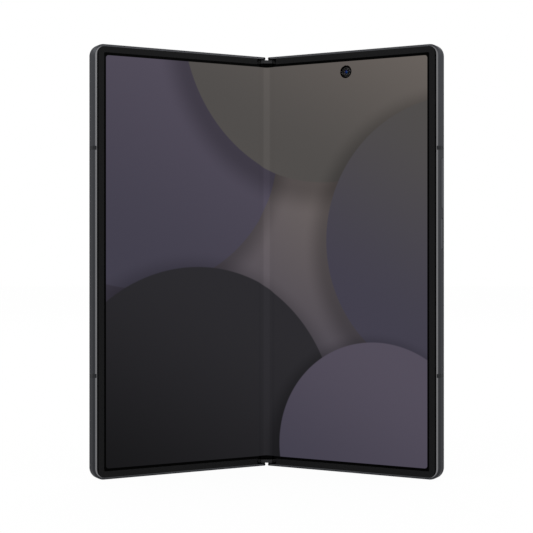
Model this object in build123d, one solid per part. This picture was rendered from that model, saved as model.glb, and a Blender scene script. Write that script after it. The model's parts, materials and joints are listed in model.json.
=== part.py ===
from build123d import *
import os
from math import cos, hypot, pi, radians, sin, tan

# A book-style folding phone, standing half open on the bottom edges of its two
# halves. All lengths are in millimetres.
#
# Model frame: +Z is up along the height, +Y points to the back of the phone and
# the inner display faces -Y. The origin is at the middle of the footprint.
#
# A half is drawn flat and open, as the right half. There X is the distance out
# from the spine, Y is the depth behind the face of the inner display, and Z is
# the height. place() then swings it to the resting fold and mirrors the left one.

# ---- Inner display and the bezel and rim round it: they set the outline ----
ACTIVE_HALF_W = 66.65
ACTIVE_HALF_H = 75.15
BORDER_SIDE = 0.75
BORDER_END = 0.97
BEZEL_SIDE_W = 2.2
BEZEL_END_W = 2.15
BEZEL_SLIT_SIDE = 0.5
BEZEL_SLIT_END = 0.1
RIM_SIDE = 1.5
RIM_END = 0.83
PANEL_T = 0.5
PANEL_MARGIN = 1.3
BEZEL_RAISE = 0.2
BEZEL_LEG_W = 0.25
BEZEL_CHAMFER = 0.08
BEZEL_U0 = 4.5
FOLD_U = 4.0
FOLD_BEND_R = 3.84

# ---- Whole phone ----
HALF_THICK = 4.2
CORNER_R = 4.4
REST_FOLD = 28.3
CLOSED_FOLD = 90.0
CLOSED_GAP = 0.5
HALF_W = ACTIVE_HALF_W + BORDER_SIDE + BEZEL_SIDE_W + BEZEL_SLIT_SIDE + RIM_SIDE
MID_H = ACTIVE_HALF_H + BORDER_END + BEZEL_END_W + BEZEL_SLIT_END + RIM_END
HEIGHT = 2 * MID_H
PANEL_U1 = ACTIVE_HALF_W + PANEL_MARGIN
PANEL_Z0 = MID_H - ACTIVE_HALF_H - PANEL_MARGIN
PANEL_Z1 = MID_H + ACTIVE_HALF_H + PANEL_MARGIN

# ---- Gears of the hinge ----
GEAR_PITCH_R = 0.65
GEAR_TEETH = 10
GEAR_ROOT_R = 0.47
GEAR_TIP_R = 0.76
TOOTH_ROOT_W = 0.22
TOOTH_PITCH_W = 0.15
TOOTH_TIP_W = 0.06
GEAR_Y = 1.9
GEAR_HALF_H = 1.5
PIN_R = 0.25
PIN_CLEAR = 0.04
IDLER_X = GEAR_PITCH_R
ARM_X = 3 * GEAR_PITCH_R

# ---- Fold axes and spine ----
AXIS_X = 1.25
AXIS_Y = AXIS_X - CLOSED_GAP / 2
SPINE_WALL = 0.4
GEAR_TO_SHELL = 0.2
SPINE_END_INSET = 1.15
SPINE_EDGE_DROP = 0.35
SPINE_CLEAR = 0.15
SPINE_IN_R = hypot(ARM_X - AXIS_X, GEAR_Y - AXIS_Y) + GEAR_TIP_R + GEAR_TO_SHELL
SPINE_R = SPINE_IN_R + SPINE_WALL
CAVITY_R = SPINE_R + SPINE_CLEAR
LIP_GAP = 0.05
SPINE_Z0 = SPINE_END_INSET
SPINE_Z1 = HEIGHT - SPINE_END_INSET
CAVITY_Z0 = SPINE_Z0 - SPINE_CLEAR
CAVITY_Z1 = SPINE_Z1 + SPINE_CLEAR
END_CAP_H = 1.25
END_CAP_HALF_W = 2.38
END_CAP_FRONT = 0.6
END_CAP_ROUND = 0.3
RELIEF_DEPTH = 1.95
RELIEF_U = 0.75
RELIEF_FRONT_U = 0.87
RELIEF_RAMP = 0.1

# ---- Frame of a half ----
RIM_CHAMFER = 0.65
BACK_ROUND = 0.35
SIDE_WALL = 1.7
END_WALL = 1.9
BAR_WALL = 1.7
MID_PLATE_T = 0.45
GLASS_T = 0.7
GLASS_INSET = 0.55
GLASS_FIT = 0.05
GLASS_U0 = 4.2
GLASS_CHAMFER = 0.12
BREAK_HEIGHT = 1.45
BREAK_OFFSET = 41.3
BREAK_DEPTH = 1.3
BAR_U0 = AXIS_X + CAVITY_R
BAY_U0 = BAR_U0 + BAR_WALL
GLASS_FRONT = HALF_THICK - GLASS_T
MID_PLATE_N1 = PANEL_T + MID_PLATE_T

# ---- Wing plates behind the folding strip of the display ----
WING_T = 0.4
WING_CLEAR = 0.08
WING_U0 = 1.75
WING_PIVOT_U = 8.7
WING_CLOSED_TILT = 8.0
WING_EDGE_GAP = 0.12
WING_END_GAP = 0.3
WING_NOTCH_U = 7.95
TRUNNION_R = 0.2
TRUNNION_DEPTH = 0.8
RUN_CLEAR = 0.05
WING_PIVOT_N = PANEL_T + WING_CLEAR + WING_T / 2
WING_RATIO = WING_CLOSED_TILT / CLOSED_FOLD
MID_PLATE_U0 = WING_PIVOT_U + WING_T / 2 + WING_EDGE_GAP

# ---- Brackets, arms and arc rails of the hinge ----
MODULE_OFFSETS = (-54.0, 54.0)
CHAMBER_GAP = 0.1
PLATE_T = 0.8
ARM_T = 0.5
ARM_DROP = 0.3
ARM_HEEL = 0.5
ARM_END_U = 9.6
SLOT_CLEAR = 0.1
RAIL_T = 0.6
RAIL_HALF_H = 1.2
RAIL_START = -10.0
RAIL_END = 110.0
RAIL_PLATE_DROP = 0.2
RAIL_PLATE_T = 0.45
RAIL_PLATE_LAP = 0.02
RAIL_PLATE_REACH = 1.6
RAIL_PLATE_U1 = BAR_U0 + RAIL_PLATE_REACH
RAIL_PLATE_N0 = PANEL_T + RAIL_PLATE_DROP
RAIL_PLATE_N1 = RAIL_PLATE_N0 + RAIL_PLATE_T
WASHER_COUNT = 4
WASHER_T = 0.45
WASHER_STEP = 0.55
WASHER_R = 0.8
RAIL_OUT_R = SPINE_IN_R - RUN_CLEAR
RAIL_IN_R = RAIL_OUT_R - RAIL_T
CHAMBER_HALF_H = GEAR_HALF_H + CHAMBER_GAP
RAIL_MID = CHAMBER_HALF_H + PLATE_T + CHAMBER_GAP + RAIL_HALF_H
BRACKET_TOP = RAIL_MID + RAIL_HALF_H + CHAMBER_GAP + PLATE_T
BRACKET_LOW = -(CHAMBER_HALF_H + PLATE_T)
PACK_LENGTH = WASHER_COUNT * WASHER_STEP + CHAMBER_GAP
BRACKET_BOTTOM = BRACKET_LOW - PACK_LENGTH - PLATE_T
BRACKET_DROP = 0.05
BRACKET_FRONT_Y = AXIS_Y + BRACKET_DROP
SPINE_SCREW_R = 0.45
RAIL_SCREW_R = 0.4
RAIL_SCREW_HEAD_R = 0.7
RAIL_SCREW_HEAD_T = 0.2
RAIL_SCREW_L = 1.2

# ---- Keys on the right edge ----
KEY_WIDTH = 2.0
KEY_ROUND = 0.15
KEY_GAP = 0.1
KEY_N = 2.15
ROCKER_L = 18.3
ROCKER_RAISE = 0.15
SIDE_KEY_L = 11.4
SIDE_KEY_RISE = 4.5
SIDE_KEY_SINK = 0.08
KEY_SPACING = 3.5
SIDE_KEY_Z0 = MID_H + SIDE_KEY_RISE
SIDE_KEY_Z1 = SIDE_KEY_Z0 + SIDE_KEY_L
ROCKER_Z0 = SIDE_KEY_Z1 + KEY_SPACING
ROCKER_Z1 = ROCKER_Z0 + ROCKER_L
KEY_TAB_Z = 0.9
KEY_TAB_T = 0.45
KEY_TAB_GAP = 0.35
KEY_TRAVEL_GAP = 0.28
ROCKER_RIB_GAP = 0.05
SWITCH_T = 0.55
SWITCH_R = 0.9
SWITCH_BOARD_T = 0.3
ROCKER_RIB_R = KEY_TRAVEL_GAP + SWITCH_T - ROCKER_RIB_GAP

# ---- Charging port on the bottom edge of the right half ----
PORT_SHIFT = 0.2
PORT_W = 8.34
PORT_H = 2.56
PORT_WALL = 0.2
PORT_LENGTH = 7.0
PORT_FLOOR_GAP = 0.02
PORT_U = HALF_W / 2 + PORT_SHIFT
PORT_N = PANEL_T + PORT_FLOOR_GAP + PORT_WALL + PORT_H / 2
TONGUE_W = 6.69
TONGUE_T = 0.7
TONGUE_INSET = 0.6
TONGUE_LENGTH = 4.6

# ---- Cameras beside the inner display and in the cover ----
INNER_CAM_U = 34.0
INNER_CAM_INSET = 3.83
INNER_CAM_R = 2.45
INNER_BARREL_R = 1.9
INNER_WINDOW_SINK = 0.08
COVER_CAM_R = 1.9
COVER_CAM_INSET = 7.5
CAM_BOX = 6.0
CAM_BACK_GAP = 0.3
COVER_PANEL_T = 0.5
COVER_PANEL_INSET = 2.0
INNER_CAM_Z = MID_H + ACTIVE_HALF_H - INNER_CAM_INSET
COVER_CAM_U = (GLASS_U0 + HALF_W) / 2
COVER_CAM_Z = HEIGHT - COVER_CAM_INSET

# ---- Sound slots, speaker boxes and microphone ----
SOUND_SLOT_L = 2.4
SOUND_SLOT_H = 1.0
SOUND_SLOT_PITCH = 3.4
SOUND_SLOT_COUNT = 4
SPEAKER_W = 20.0
SPEAKER_L = 22.0
SPEAKER_T = 1.9
SPEAKER_ROUND = 1.2
LOUDSPEAKER_GAP = 4.6
EARPIECE_GAP = 2.1
MIC_HOLE_R = 0.5
MIC_W = 3.6
MIC_L = 2.6
MIC_T = 1.7
MIC_GAP = 6.0
LOUDSPEAKER_U = PORT_U + PORT_W / 2 + PORT_WALL + LOUDSPEAKER_GAP + SPEAKER_W / 2
EARPIECE_U = COVER_CAM_U + CAM_BOX / 2 + EARPIECE_GAP + SPEAKER_W / 2
MIC_U = PORT_U - PORT_W / 2 - PORT_WALL - MIC_GAP - MIC_W / 2

# ---- SIM tray on the top edge of the left half ----
TRAY_W = 13.0
TRAY_H = 2.2
TRAY_FACE_T = 1.2
TRAY_END_FLAT = 0.1
TRAY_HOLE_R = 0.4
TRAY_BLADE_W = 11.0
TRAY_BLADE_T = 1.1
TRAY_RAIL_W = 1.0
TRAY_FLOOR_T = 0.3
TRAY_END_BAR = 1.5
TRAY_LENGTH = 17.0
TRAY_GAP = 0.1
TRAY_SLOT_WALL = 0.25
TRAY_SLOT_END = 1.0
TRAY_CAMERA_GAP = 3.05
TRAY_U = COVER_CAM_U - CAM_BOX / 2 - TRAY_CAMERA_GAP - TRAY_SLOT_WALL - TRAY_GAP - TRAY_BLADE_W / 2
TRAY_N = MID_PLATE_N1 + TRAY_H / 2

# ---- Rear cameras on the right half ----
ISLAND_W = 17.5
ISLAND_H = 51.0
ISLAND_MARGIN = 3.4
ISLAND_RAISE = 1.1
ISLAND_ROUND = 0.5
RING_R = 7.0
RING_IN_R = 5.8
RING_RAISE = 1.3
RING_CHAMFER = 0.3
RING_PITCH = 16.2
LENS_GLASS_T = 0.4
LENS_SINK = 0.25
CAMERA_BODY = 11.0
CAMERA_BARREL_R = 4.4
FLASH_R = 2.6
FLASH_GAP = 4.6
ISLAND_U = HALF_W - ISLAND_MARGIN - ISLAND_W / 2
ISLAND_Z = HEIGHT - ISLAND_MARGIN - ISLAND_H / 2
CAMERAS_LOW_Z = ISLAND_Z - RING_PITCH - CAMERA_BODY / 2

# ---- Packed insides ----
PART_GAP = 0.15
BATTERY_U0 = 13.0
BATTERY_SIDE = 8.6
BATTERY_ROUND = 0.5
BATTERY_CAMERA_GAP = 4.8
BATTERY_SPEAKER_GAP = 12.1
BATTERY_EARPIECE_GAP = 6.5
BATTERY_U1 = HALF_W - BATTERY_SIDE
RIGHT_BATTERY_Z0 = END_WALL + SPEAKER_L + BATTERY_SPEAKER_GAP
RIGHT_BATTERY_Z1 = CAMERAS_LOW_Z - BATTERY_CAMERA_GAP
LEFT_BATTERY_Z0 = 24.0
LEFT_BATTERY_Z1 = HEIGHT - END_WALL - SPEAKER_L - BATTERY_EARPIECE_GAP
BOARD_T = 0.5
BOARD_MARGIN = 0.6
BOARD_BATTERY_GAP = 2.0
BOARD_CUT_GAP = 0.4
BOARD_SIDE = 4.0
SUB_BOARD_W = 27.0
STANDOFF_R = 0.8
STANDOFF_H = 0.5
STANDOFF_INSET = 1.5
SHIELD_T = 1.2
SHIELD_INSET = 1.5
SHIELD_GAP = 2.0
SHIELD_EDGE = 2.55
SHIELD_L = 22.0
SMALL_SHIELD_W = 14.0
SMALL_SHIELD_L = 19.0
COIL_R = 23.0
COIL_IN_R = 11.0
COIL_T = 0.3
MOTOR_R = 4.0
MOTOR_T = 1.8
MOTOR_GAP = 8.0
MAGNET_W = 1.6
MAGNET_L = 12.0
MAGNET_T = 1.2
MAGNET_GAP = 0.2
MAGNET_OFFSETS = (-30.0, -10.0)
BOARD_N0 = MID_PLATE_N1 + STANDOFF_H


def block(x0, x1, y0, y1, z0, z1):
    """Box between two opposite corners."""
    middle = Pos((x0 + x1) / 2, (y0 + y1) / 2, (z0 + z1) / 2)
    return middle * Box(x1 - x0, y1 - y0, z1 - z0)


def slab(sketch, y0, y1):
    """Sketch in X and Z, made solid between two depths."""
    back = Plane(origin=(0, y1, 0), x_dir=(1, 0, 0), z_dir=(0, -1, 0))
    return extrude(back * sketch, amount=y1 - y0)


def column(sketch, z0, z1):
    """Sketch in X and Y, made solid between two heights."""
    return extrude(Pos(0, 0, z0) * sketch, amount=z1 - z0)


def post(x, y, radius, z0, z1):
    """Upright cylinder."""
    return column(Pos(x, y) * Circle(radius), z0, z1)


def disc(x, z, radius, y0, y1):
    """Cylinder that points to the back."""
    return slab(Pos(x, z) * Circle(radius), y0, y1)


def group(pieces):
    """Several solids as one shape."""
    return Compound([piece.solid() for piece in pieces])


def fold_point(x, y, fold):
    """Where a point of the flat right half goes when the half folds by an angle."""
    turn = radians(fold)
    dx = x - AXIS_X
    dy = y - AXIS_Y
    return AXIS_X + dx * cos(turn) + dy * sin(turn), AXIS_Y - dx * sin(turn) + dy * cos(turn)


def spine_y():
    """Depth of the spine that puts the origin at the middle of the footprint."""
    front = min(fold_point(HALF_W, 0, REST_FOLD)[1],
                fold_point(HALF_W - RIM_SIDE - BEZEL_SLIT_SIDE, -BEZEL_RAISE, REST_FOLD)[1])
    back = max(fold_point(LIP_GAP, HALF_THICK, REST_FOLD)[1], AXIS_Y + SPINE_R)
    return -(front + back) / 2


SPINE_Y = spine_y()


def place(part, side):
    """Swing a piece of the flat right half to its resting place on a side."""
    if side < 0:
        part = mirror(part, about=Plane.YZ)
    axis = Axis((side * AXIS_X, AXIS_Y, 0), (0, 0, 1))
    return Pos(0, SPINE_Y, 0) * part.rotate(axis, -side * REST_FOLD)


def place_fixed(part):
    """Put a piece of the spine at its place."""
    return Pos(0, SPINE_Y, 0) * part


def half_outline(side, end, u0):
    """Outline of a half, drawn in by a margin: square at the spine, round outside."""
    width = HALF_W - side - u0
    sheet = Pos(u0 + width / 2, MID_H) * Rectangle(width, HEIGHT - 2 * end)
    outer = sheet.vertices().group_by(Axis.X)[-1]
    return fillet(outer, max(CORNER_R - max(side, end), 0.4))


def capsule(u, z, width, height):
    """Rectangle with fully round ends."""
    if width > height:
        return Pos(u, z) * SlotOverall(width, height)
    return Pos(u, z) * Rot(0, 0, 90) * SlotOverall(height, width)


# ---- Frame of a half ----

def frame_blank():
    """Metal block of a half with its bright front chamfer and rounded back edge."""
    body = slab(half_outline(0, 0, LIP_GAP), 0, HALF_THICK)
    front = body.faces().sort_by(Axis.Y)[0].edges()
    body = chamfer(front.filter_by(lambda edge: edge.center().X > LIP_GAP + 0.01), RIM_CHAMFER)
    back = body.faces().sort_by(Axis.Y)[-1].edges()
    return fillet(back.filter_by(lambda edge: edge.center().X > LIP_GAP + 0.01), BACK_ROUND)


def break_zones():
    """Blocks where the outer edge is split by plastic antenna breaks."""
    u0 = HALF_W - BREAK_DEPTH
    zones = []
    for offset in (-BREAK_OFFSET, BREAK_OFFSET):
        z = MID_H + offset
        low, high = z - BREAK_HEIGHT / 2, z + BREAK_HEIGHT / 2
        zones.append(block(u0, HALF_W + 1, -1, HALF_THICK + 1, low, high))
    return zones


def spine_cavity():
    """Room for the spine in a half, round the fold axis and open to the display."""
    round_room = post(AXIS_X, AXIS_Y, CAVITY_R, CAVITY_Z0, CAVITY_Z1)
    flat_room = block(-1, AXIS_X, -1, AXIS_Y + CAVITY_R, CAVITY_Z0, CAVITY_Z1)
    return round_room + flat_room


def spine_relief():
    """Cut that keeps the front ends of the frame clear of each other as they fold."""
    sketch = make_face(Polyline(
        (-1, -1),
        (RELIEF_FRONT_U, -1),
        (RELIEF_FRONT_U, 0),
        (RELIEF_U, AXIS_Y - RELIEF_RAMP),
        (RELIEF_U, RELIEF_DEPTH),
        (-1, RELIEF_DEPTH),
        close=True,
    ))
    return column(sketch, -1, HEIGHT + 1)


def wing_pocket():
    """Room in which a wing plate tilts, less the pads that the arc rails sit on."""
    floor = RAIL_PLATE_N1
    slope = tan(radians(WING_CLOSED_TILT))
    reach = WING_PIVOT_U + 1
    sketch = make_face(Polyline(
        (-1, PANEL_T),
        (MID_PLATE_U0, PANEL_T),
        (MID_PLATE_U0, floor),
        (WING_PIVOT_U, floor),
        (-1, floor + reach * slope),
        close=True,
    ))
    pocket = column(sketch, END_WALL, HEIGHT - END_WALL)
    for offset in MODULE_OFFSETS:
        z = MID_H + offset + RAIL_MID
        low, high = z - RAIL_HALF_H - CHAMBER_GAP, z + RAIL_HALF_H + CHAMBER_GAP
        pocket -= block(AXIS_X + RAIL_OUT_R, MID_PLATE_U0 + 1, floor, HALF_THICK, low, high)
    return pocket


def arm_depths():
    """Least and greatest depth that a gear arm's plate reaches in its half."""
    dx = ARM_X - AXIS_X
    dy = GEAR_Y - AXIS_Y
    closed = AXIS_Y + dx * sin(radians(CLOSED_FOLD)) + dy * cos(radians(CLOSED_FOLD))
    low = min(closed, GEAR_Y) - ARM_DROP - ARM_T / 2
    high = AXIS_Y + hypot(dx, dy) - ARM_DROP + ARM_T / 2
    return low, high


def arm_slots():
    """Slots through which the gear arms slide into a half."""
    low, high = arm_depths()
    slots = []
    for offset in MODULE_OFFSETS:
        z = MID_H + offset
        slots.append(block(
            AXIS_X, BAY_U0 + 1, low - SLOT_CLEAR, high + SLOT_CLEAR,
            z - CHAMBER_HALF_H, z + CHAMBER_HALF_H,
        ))
    return slots


def rail_screw_holes():
    """Threaded holes for the screws of the arc rails."""
    holes = []
    for offset in MODULE_OFFSETS:
        z = MID_H + offset + RAIL_MID
        holes.append(disc(rail_screw_u(), z, RAIL_SCREW_R, 0, RAIL_PLATE_N0 + RAIL_SCREW_L))
    return holes


def rail_screw_u():
    """Distance of the rail screws from the spine."""
    return BAR_U0 + (BAY_U0 - BAR_U0) / 2


def trunnion_holes():
    """Bearing holes for the wing plate's pivots in the end walls."""
    bore = TRUNNION_R + RUN_CLEAR
    depth = TRUNNION_DEPTH + RUN_CLEAR
    top = HEIGHT - END_WALL
    low = post(WING_PIVOT_U, WING_PIVOT_N, bore, END_WALL - depth, END_WALL + depth)
    high = post(WING_PIVOT_U, WING_PIVOT_N, bore, top - depth, top + depth)
    return [low, high]


def half_frame():
    """Frame that both halves share: rims, walls, mid plate and the spine bar."""
    body = frame_blank()
    cuts = [
        slab(half_outline(RIM_SIDE, RIM_END, -1), -1, PANEL_T),
        spine_cavity(),
        spine_relief(),
        slab(half_outline(SIDE_WALL, END_WALL, BAY_U0), MID_PLATE_N1, GLASS_FRONT),
        glass_seat(),
        wing_pocket(),
    ]
    for cut in cuts + break_zones() + arm_slots() + rail_screw_holes() + trunnion_holes():
        body -= cut
    return body


def glass_seat():
    """Room that the pane on the back of a half lies in."""
    return slab(half_outline(GLASS_INSET, GLASS_INSET, GLASS_U0), GLASS_FRONT, HALF_THICK + 1)


def antenna_breaks():
    """Plastic fillings of the splits in the outer edge, stepped round the back pane."""
    blank = frame_blank() - glass_seat()
    low, high = break_zones()
    return group([blank & low, blank & high])


def sound_slots(u, z0, z1):
    """Row of round-ended slots through an end wall."""
    slots = []
    for index in range(SOUND_SLOT_COUNT):
        slot_u = u + (index - (SOUND_SLOT_COUNT - 1) / 2) * SOUND_SLOT_PITCH
        sketch = Pos(slot_u, sound_depth()) * SlotOverall(SOUND_SLOT_L, SOUND_SLOT_H)
        slots.append(column(sketch, z0, z1))
    return slots


def sound_depth():
    """Depth of the middle of the sound slots."""
    return (MID_PLATE_N1 + GLASS_FRONT) / 2


def left_frame():
    """Frame with the SIM tray's opening and the earpiece slots in its top edge."""
    body = half_frame()
    body -= column(tray_outline(TRAY_GAP), HEIGHT - END_WALL - 1, HEIGHT + 1)
    for slot in sound_slots(EARPIECE_U, HEIGHT - END_WALL - 1, HEIGHT + 1):
        body -= slot
    return body


def tray_outline(grow):
    """Rounded outline of the tray's face, grown by a margin."""
    return Pos(TRAY_U, TRAY_N) * RectangleRounded(
        TRAY_W + 2 * grow, TRAY_H + 2 * grow, TRAY_H / 2 - TRAY_END_FLAT + grow)


def key_opening(z0, z1):
    """Round-ended opening for a key in the outer wall."""
    length = z1 - z0 + 2 * KEY_GAP
    width = KEY_WIDTH + 2 * KEY_GAP
    side_plane = Plane(origin=(HALF_W - SIDE_WALL - 1, 0, 0), x_dir=(0, 1, 0), z_dir=(1, 0, 0))
    sketch = Pos(KEY_N, (z0 + z1) / 2) * Rot(0, 0, 90) * SlotOverall(length, width)
    return extrude(side_plane * sketch, amount=SIDE_WALL + 2)


def port_outline(grow):
    """Round-ended outline of the charging port, grown by a margin."""
    return Pos(PORT_U, PORT_N) * SlotOverall(PORT_W + 2 * grow, PORT_H + 2 * grow)


def right_frame():
    """Frame with the key openings, the port, the loudspeaker slots and the microphone."""
    body = half_frame()
    cuts = [
        key_opening(ROCKER_Z0, ROCKER_Z1),
        key_opening(SIDE_KEY_Z0, SIDE_KEY_Z1),
        column(port_outline(PORT_WALL), -1, PORT_LENGTH + 1),
        post(MIC_U, sound_depth(), MIC_HOLE_R, -1, END_WALL + 1),
        disc(INNER_CAM_U, INNER_CAM_Z, INNER_BARREL_R + PART_GAP, 0, MID_PLATE_N1 + 0.1),
    ]
    for cut in cuts + sound_slots(LOUDSPEAKER_U, -1, END_WALL + 1):
        body -= cut
    return body


# ---- Display ----

def bezel():
    """Raised plastic strip round the outer three sides of the display."""
    side = RIM_SIDE + BEZEL_SLIT_SIDE
    end = RIM_END + BEZEL_SLIT_END
    strip = slab(half_outline(side, end, BEZEL_U0), -BEZEL_RAISE, 0)
    strip -= slab(half_outline(side + BEZEL_SIDE_W, end + BEZEL_END_W, 0), -1, 1)
    leg = slab(half_outline(side, end, BEZEL_U0), 0, PANEL_T)
    leg -= slab(half_outline(side + BEZEL_LEG_W, end + BEZEL_LEG_W, 0), -1, 1)
    strip = strip + leg
    top = strip.faces().sort_by(Axis.Y)[0].edges()
    return chamfer(top, BEZEL_CHAMFER)


def panel_half():
    """Stiff part of the inner display on a half."""
    width = PANEL_U1 - FOLD_U
    sheet = Pos(FOLD_U + width / 2, MID_H) * Rectangle(width, PANEL_Z1 - PANEL_Z0)
    outer = sheet.vertices().group_by(Axis.X)[-1]
    return slab(fillet(outer, CORNER_R - RIM_SIDE - PANEL_MARGIN), 0, PANEL_T)


def inner_display_right():
    """Right part of the display with the hole for the inner camera."""
    return panel_half() - disc(INNER_CAM_U, INNER_CAM_Z, INNER_CAM_R, -1, 1)


def inner_display_fold():
    """Folding strip: a straight stub on each half and a round bend between them."""
    turn = radians(REST_FOLD)
    end_x, end_y = fold_point(FOLD_U, 0, REST_FOLD)
    back_x, back_y = fold_point(FOLD_U, PANEL_T, REST_FOLD)
    apex_y = end_y + end_x * tan(turn)
    inner_y = apex_y - FOLD_BEND_R / cos(turn)
    outer_r = FOLD_BEND_R + PANEL_T
    front_x, back_bend_x = FOLD_BEND_R * sin(turn), outer_r * sin(turn)
    front_y, back_bend_y = inner_y + FOLD_BEND_R * cos(turn), inner_y + outer_r * cos(turn)
    outline = [
        Line((-end_x, end_y), (-front_x, front_y)),
        ThreePointArc((-front_x, front_y), (0, inner_y + FOLD_BEND_R), (front_x, front_y)),
        Line((front_x, front_y), (end_x, end_y)),
        Line((end_x, end_y), (back_x, back_y)),
        Line((back_x, back_y), (back_bend_x, back_bend_y)),
        ThreePointArc(
            (back_bend_x, back_bend_y), (0, inner_y + outer_r), (-back_bend_x, back_bend_y)),
        Line((-back_bend_x, back_bend_y), (-back_x, back_y)),
        Line((-back_x, back_y), (-end_x, end_y)),
    ]
    return column(make_face(Curve() + outline), PANEL_Z0, PANEL_Z1)


# ---- Hinge ----

def spine_section(radius, front_y):
    """Section of the spine: two arcs about the fold axes with a flat between them."""
    shape = Pos(-AXIS_X, AXIS_Y) * Circle(radius) + Pos(AXIS_X, AXIS_Y) * Circle(radius)
    shape += Pos(0, AXIS_Y) * Rectangle(2 * AXIS_X, 2 * radius)
    reach = AXIS_X + radius + 1
    keep = Pos(0, (front_y + AXIS_Y + reach) / 2) * Rectangle(2 * reach, AXIS_Y + reach - front_y)
    return shape & keep


def spine_cover():
    """Outer shell of the spine, notched where the gear arms swing out."""
    edge_y = AXIS_Y + SPINE_EDGE_DROP
    shell = spine_section(SPINE_R, edge_y) - spine_section(SPINE_IN_R, edge_y - 1)
    body = column(shell, SPINE_Z0, SPINE_Z1)
    notch_y = GEAR_Y - ARM_DROP + ARM_T / 2 + SLOT_CLEAR
    reach = AXIS_X + SPINE_R + 1
    for offset in MODULE_OFFSETS:
        z = MID_H + offset
        body -= block(-reach, reach, 0, notch_y, z - CHAMBER_HALF_H, z + CHAMBER_HALF_H)
        for screw_z in spine_screw_heights(z):
            body -= disc(0, screw_z, SPINE_SCREW_R, AXIS_Y, AXIS_Y + SPINE_R - SPINE_WALL / 2)
    return body


def spine_end_caps():
    """Plug in each end of the spine, seen between the halves above the display."""
    section = spine_section(SPINE_IN_R, AXIS_Y + SPINE_EDGE_DROP)
    nose = Pos(0, (END_CAP_FRONT + GEAR_Y) / 2) * Rectangle(
        2 * END_CAP_HALF_W, GEAR_Y - END_CAP_FRONT)
    nose = fillet(nose.vertices().group_by(Axis.Y)[0], END_CAP_ROUND)
    shape = section + nose
    low = column(shape, SPINE_Z0, SPINE_Z0 + END_CAP_H)
    high = column(shape, SPINE_Z1 - END_CAP_H, SPINE_Z1)
    return group([low, high])


def spine_screw_heights(z):
    """Heights of the two screws that hold a hinge bracket in the spine."""
    return (z + RAIL_MID, z + BRACKET_BOTTOM + PLATE_T + PACK_LENGTH / 2)


def bracket_at(z):
    """Bracket with a gear chamber, two arc grooves and a friction pack."""
    section = spine_section(SPINE_IN_R, BRACKET_FRONT_Y)
    body = column(section, z + BRACKET_BOTTOM, z + BRACKET_TOP)
    web_y = GEAR_Y + GEAR_TIP_R + CHAMBER_GAP
    side = AXIS_X + SPINE_IN_R + 1
    body -= block(-side, side, 0, web_y, z - CHAMBER_HALF_H, z + CHAMBER_HALF_H)
    body -= block(-side, side, 0, web_y, z + BRACKET_LOW - PACK_LENGTH, z + BRACKET_LOW)
    low = z + RAIL_MID - RAIL_HALF_H - CHAMBER_GAP
    high = z + RAIL_MID + RAIL_HALF_H + CHAMBER_GAP
    for hand in (-1, 1):
        groove = rail_section(RAIL_IN_R - RUN_CLEAR, SPINE_IN_R + 0.1, RAIL_END + 5)
        groove = groove if hand > 0 else mirror(groove, about=Plane.YZ)
        body -= column(groove, low, high)
        body -= post(hand * ARM_X, GEAR_Y, PIN_R, z + BRACKET_BOTTOM, z + CHAMBER_HALF_H + PLATE_T)
        body -= post(hand * IDLER_X, GEAR_Y, PIN_R, z + BRACKET_LOW, z + CHAMBER_HALF_H + PLATE_T)
    for screw_z in spine_screw_heights(z):
        body -= disc(0, screw_z, SPINE_SCREW_R, 0, AXIS_Y + SPINE_R)
    return body.solid()


def rail_section(inner, outer, end):
    """Sector between two radii about the right fold axis."""
    start = radians(RAIL_START)
    stop = radians(end)
    middle = (start + stop) / 2

    def at(radius, angle):
        return (AXIS_X + radius * cos(angle), AXIS_Y + radius * sin(angle))

    outline = [
        ThreePointArc(at(inner, start), at(inner, middle), at(inner, stop)),
        Line(at(inner, stop), at(outer, stop)),
        ThreePointArc(at(outer, stop), at(outer, middle), at(outer, start)),
        Line(at(outer, start), at(inner, start)),
    ]
    return make_face(Curve() + outline)


def hinge_brackets():
    """The hinge's fixed brackets."""
    return group([bracket_at(MID_H + offset) for offset in MODULE_OFFSETS])


def gear_pins():
    """Fixed pins that the arms and the idler gears turn on."""
    pins = []
    for offset in MODULE_OFFSETS:
        z = MID_H + offset
        top = z + CHAMBER_HALF_H + PLATE_T
        for hand in (-1, 1):
            pins.append(post(hand * ARM_X, GEAR_Y, PIN_R, z + BRACKET_BOTTOM, top))
            pins.append(post(hand * IDLER_X, GEAR_Y, PIN_R, z + BRACKET_LOW, top))
    return group(pins)


def friction_washers():
    """Stacks of friction washers on the long pins."""
    rings = []
    ring = Circle(WASHER_R) - Circle(PIN_R)
    for offset in MODULE_OFFSETS:
        base = MID_H + offset + BRACKET_LOW - PACK_LENGTH + CHAMBER_GAP
        for hand in (-1, 1):
            for index in range(WASHER_COUNT):
                z = base + index * WASHER_STEP
                rings.append(column(Pos(hand * ARM_X, GEAR_Y) * ring, z, z + WASHER_T))
    return group(rings)


def spine_screws():
    """Screws that hold the brackets in the spine cover."""
    screws = []
    for offset in MODULE_OFFSETS:
        for z in spine_screw_heights(MID_H + offset):
            screws.append(disc(
                0, z, SPINE_SCREW_R, BRACKET_FRONT_Y, AXIS_Y + SPINE_R - SPINE_WALL / 2))
    return group(screws)


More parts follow.
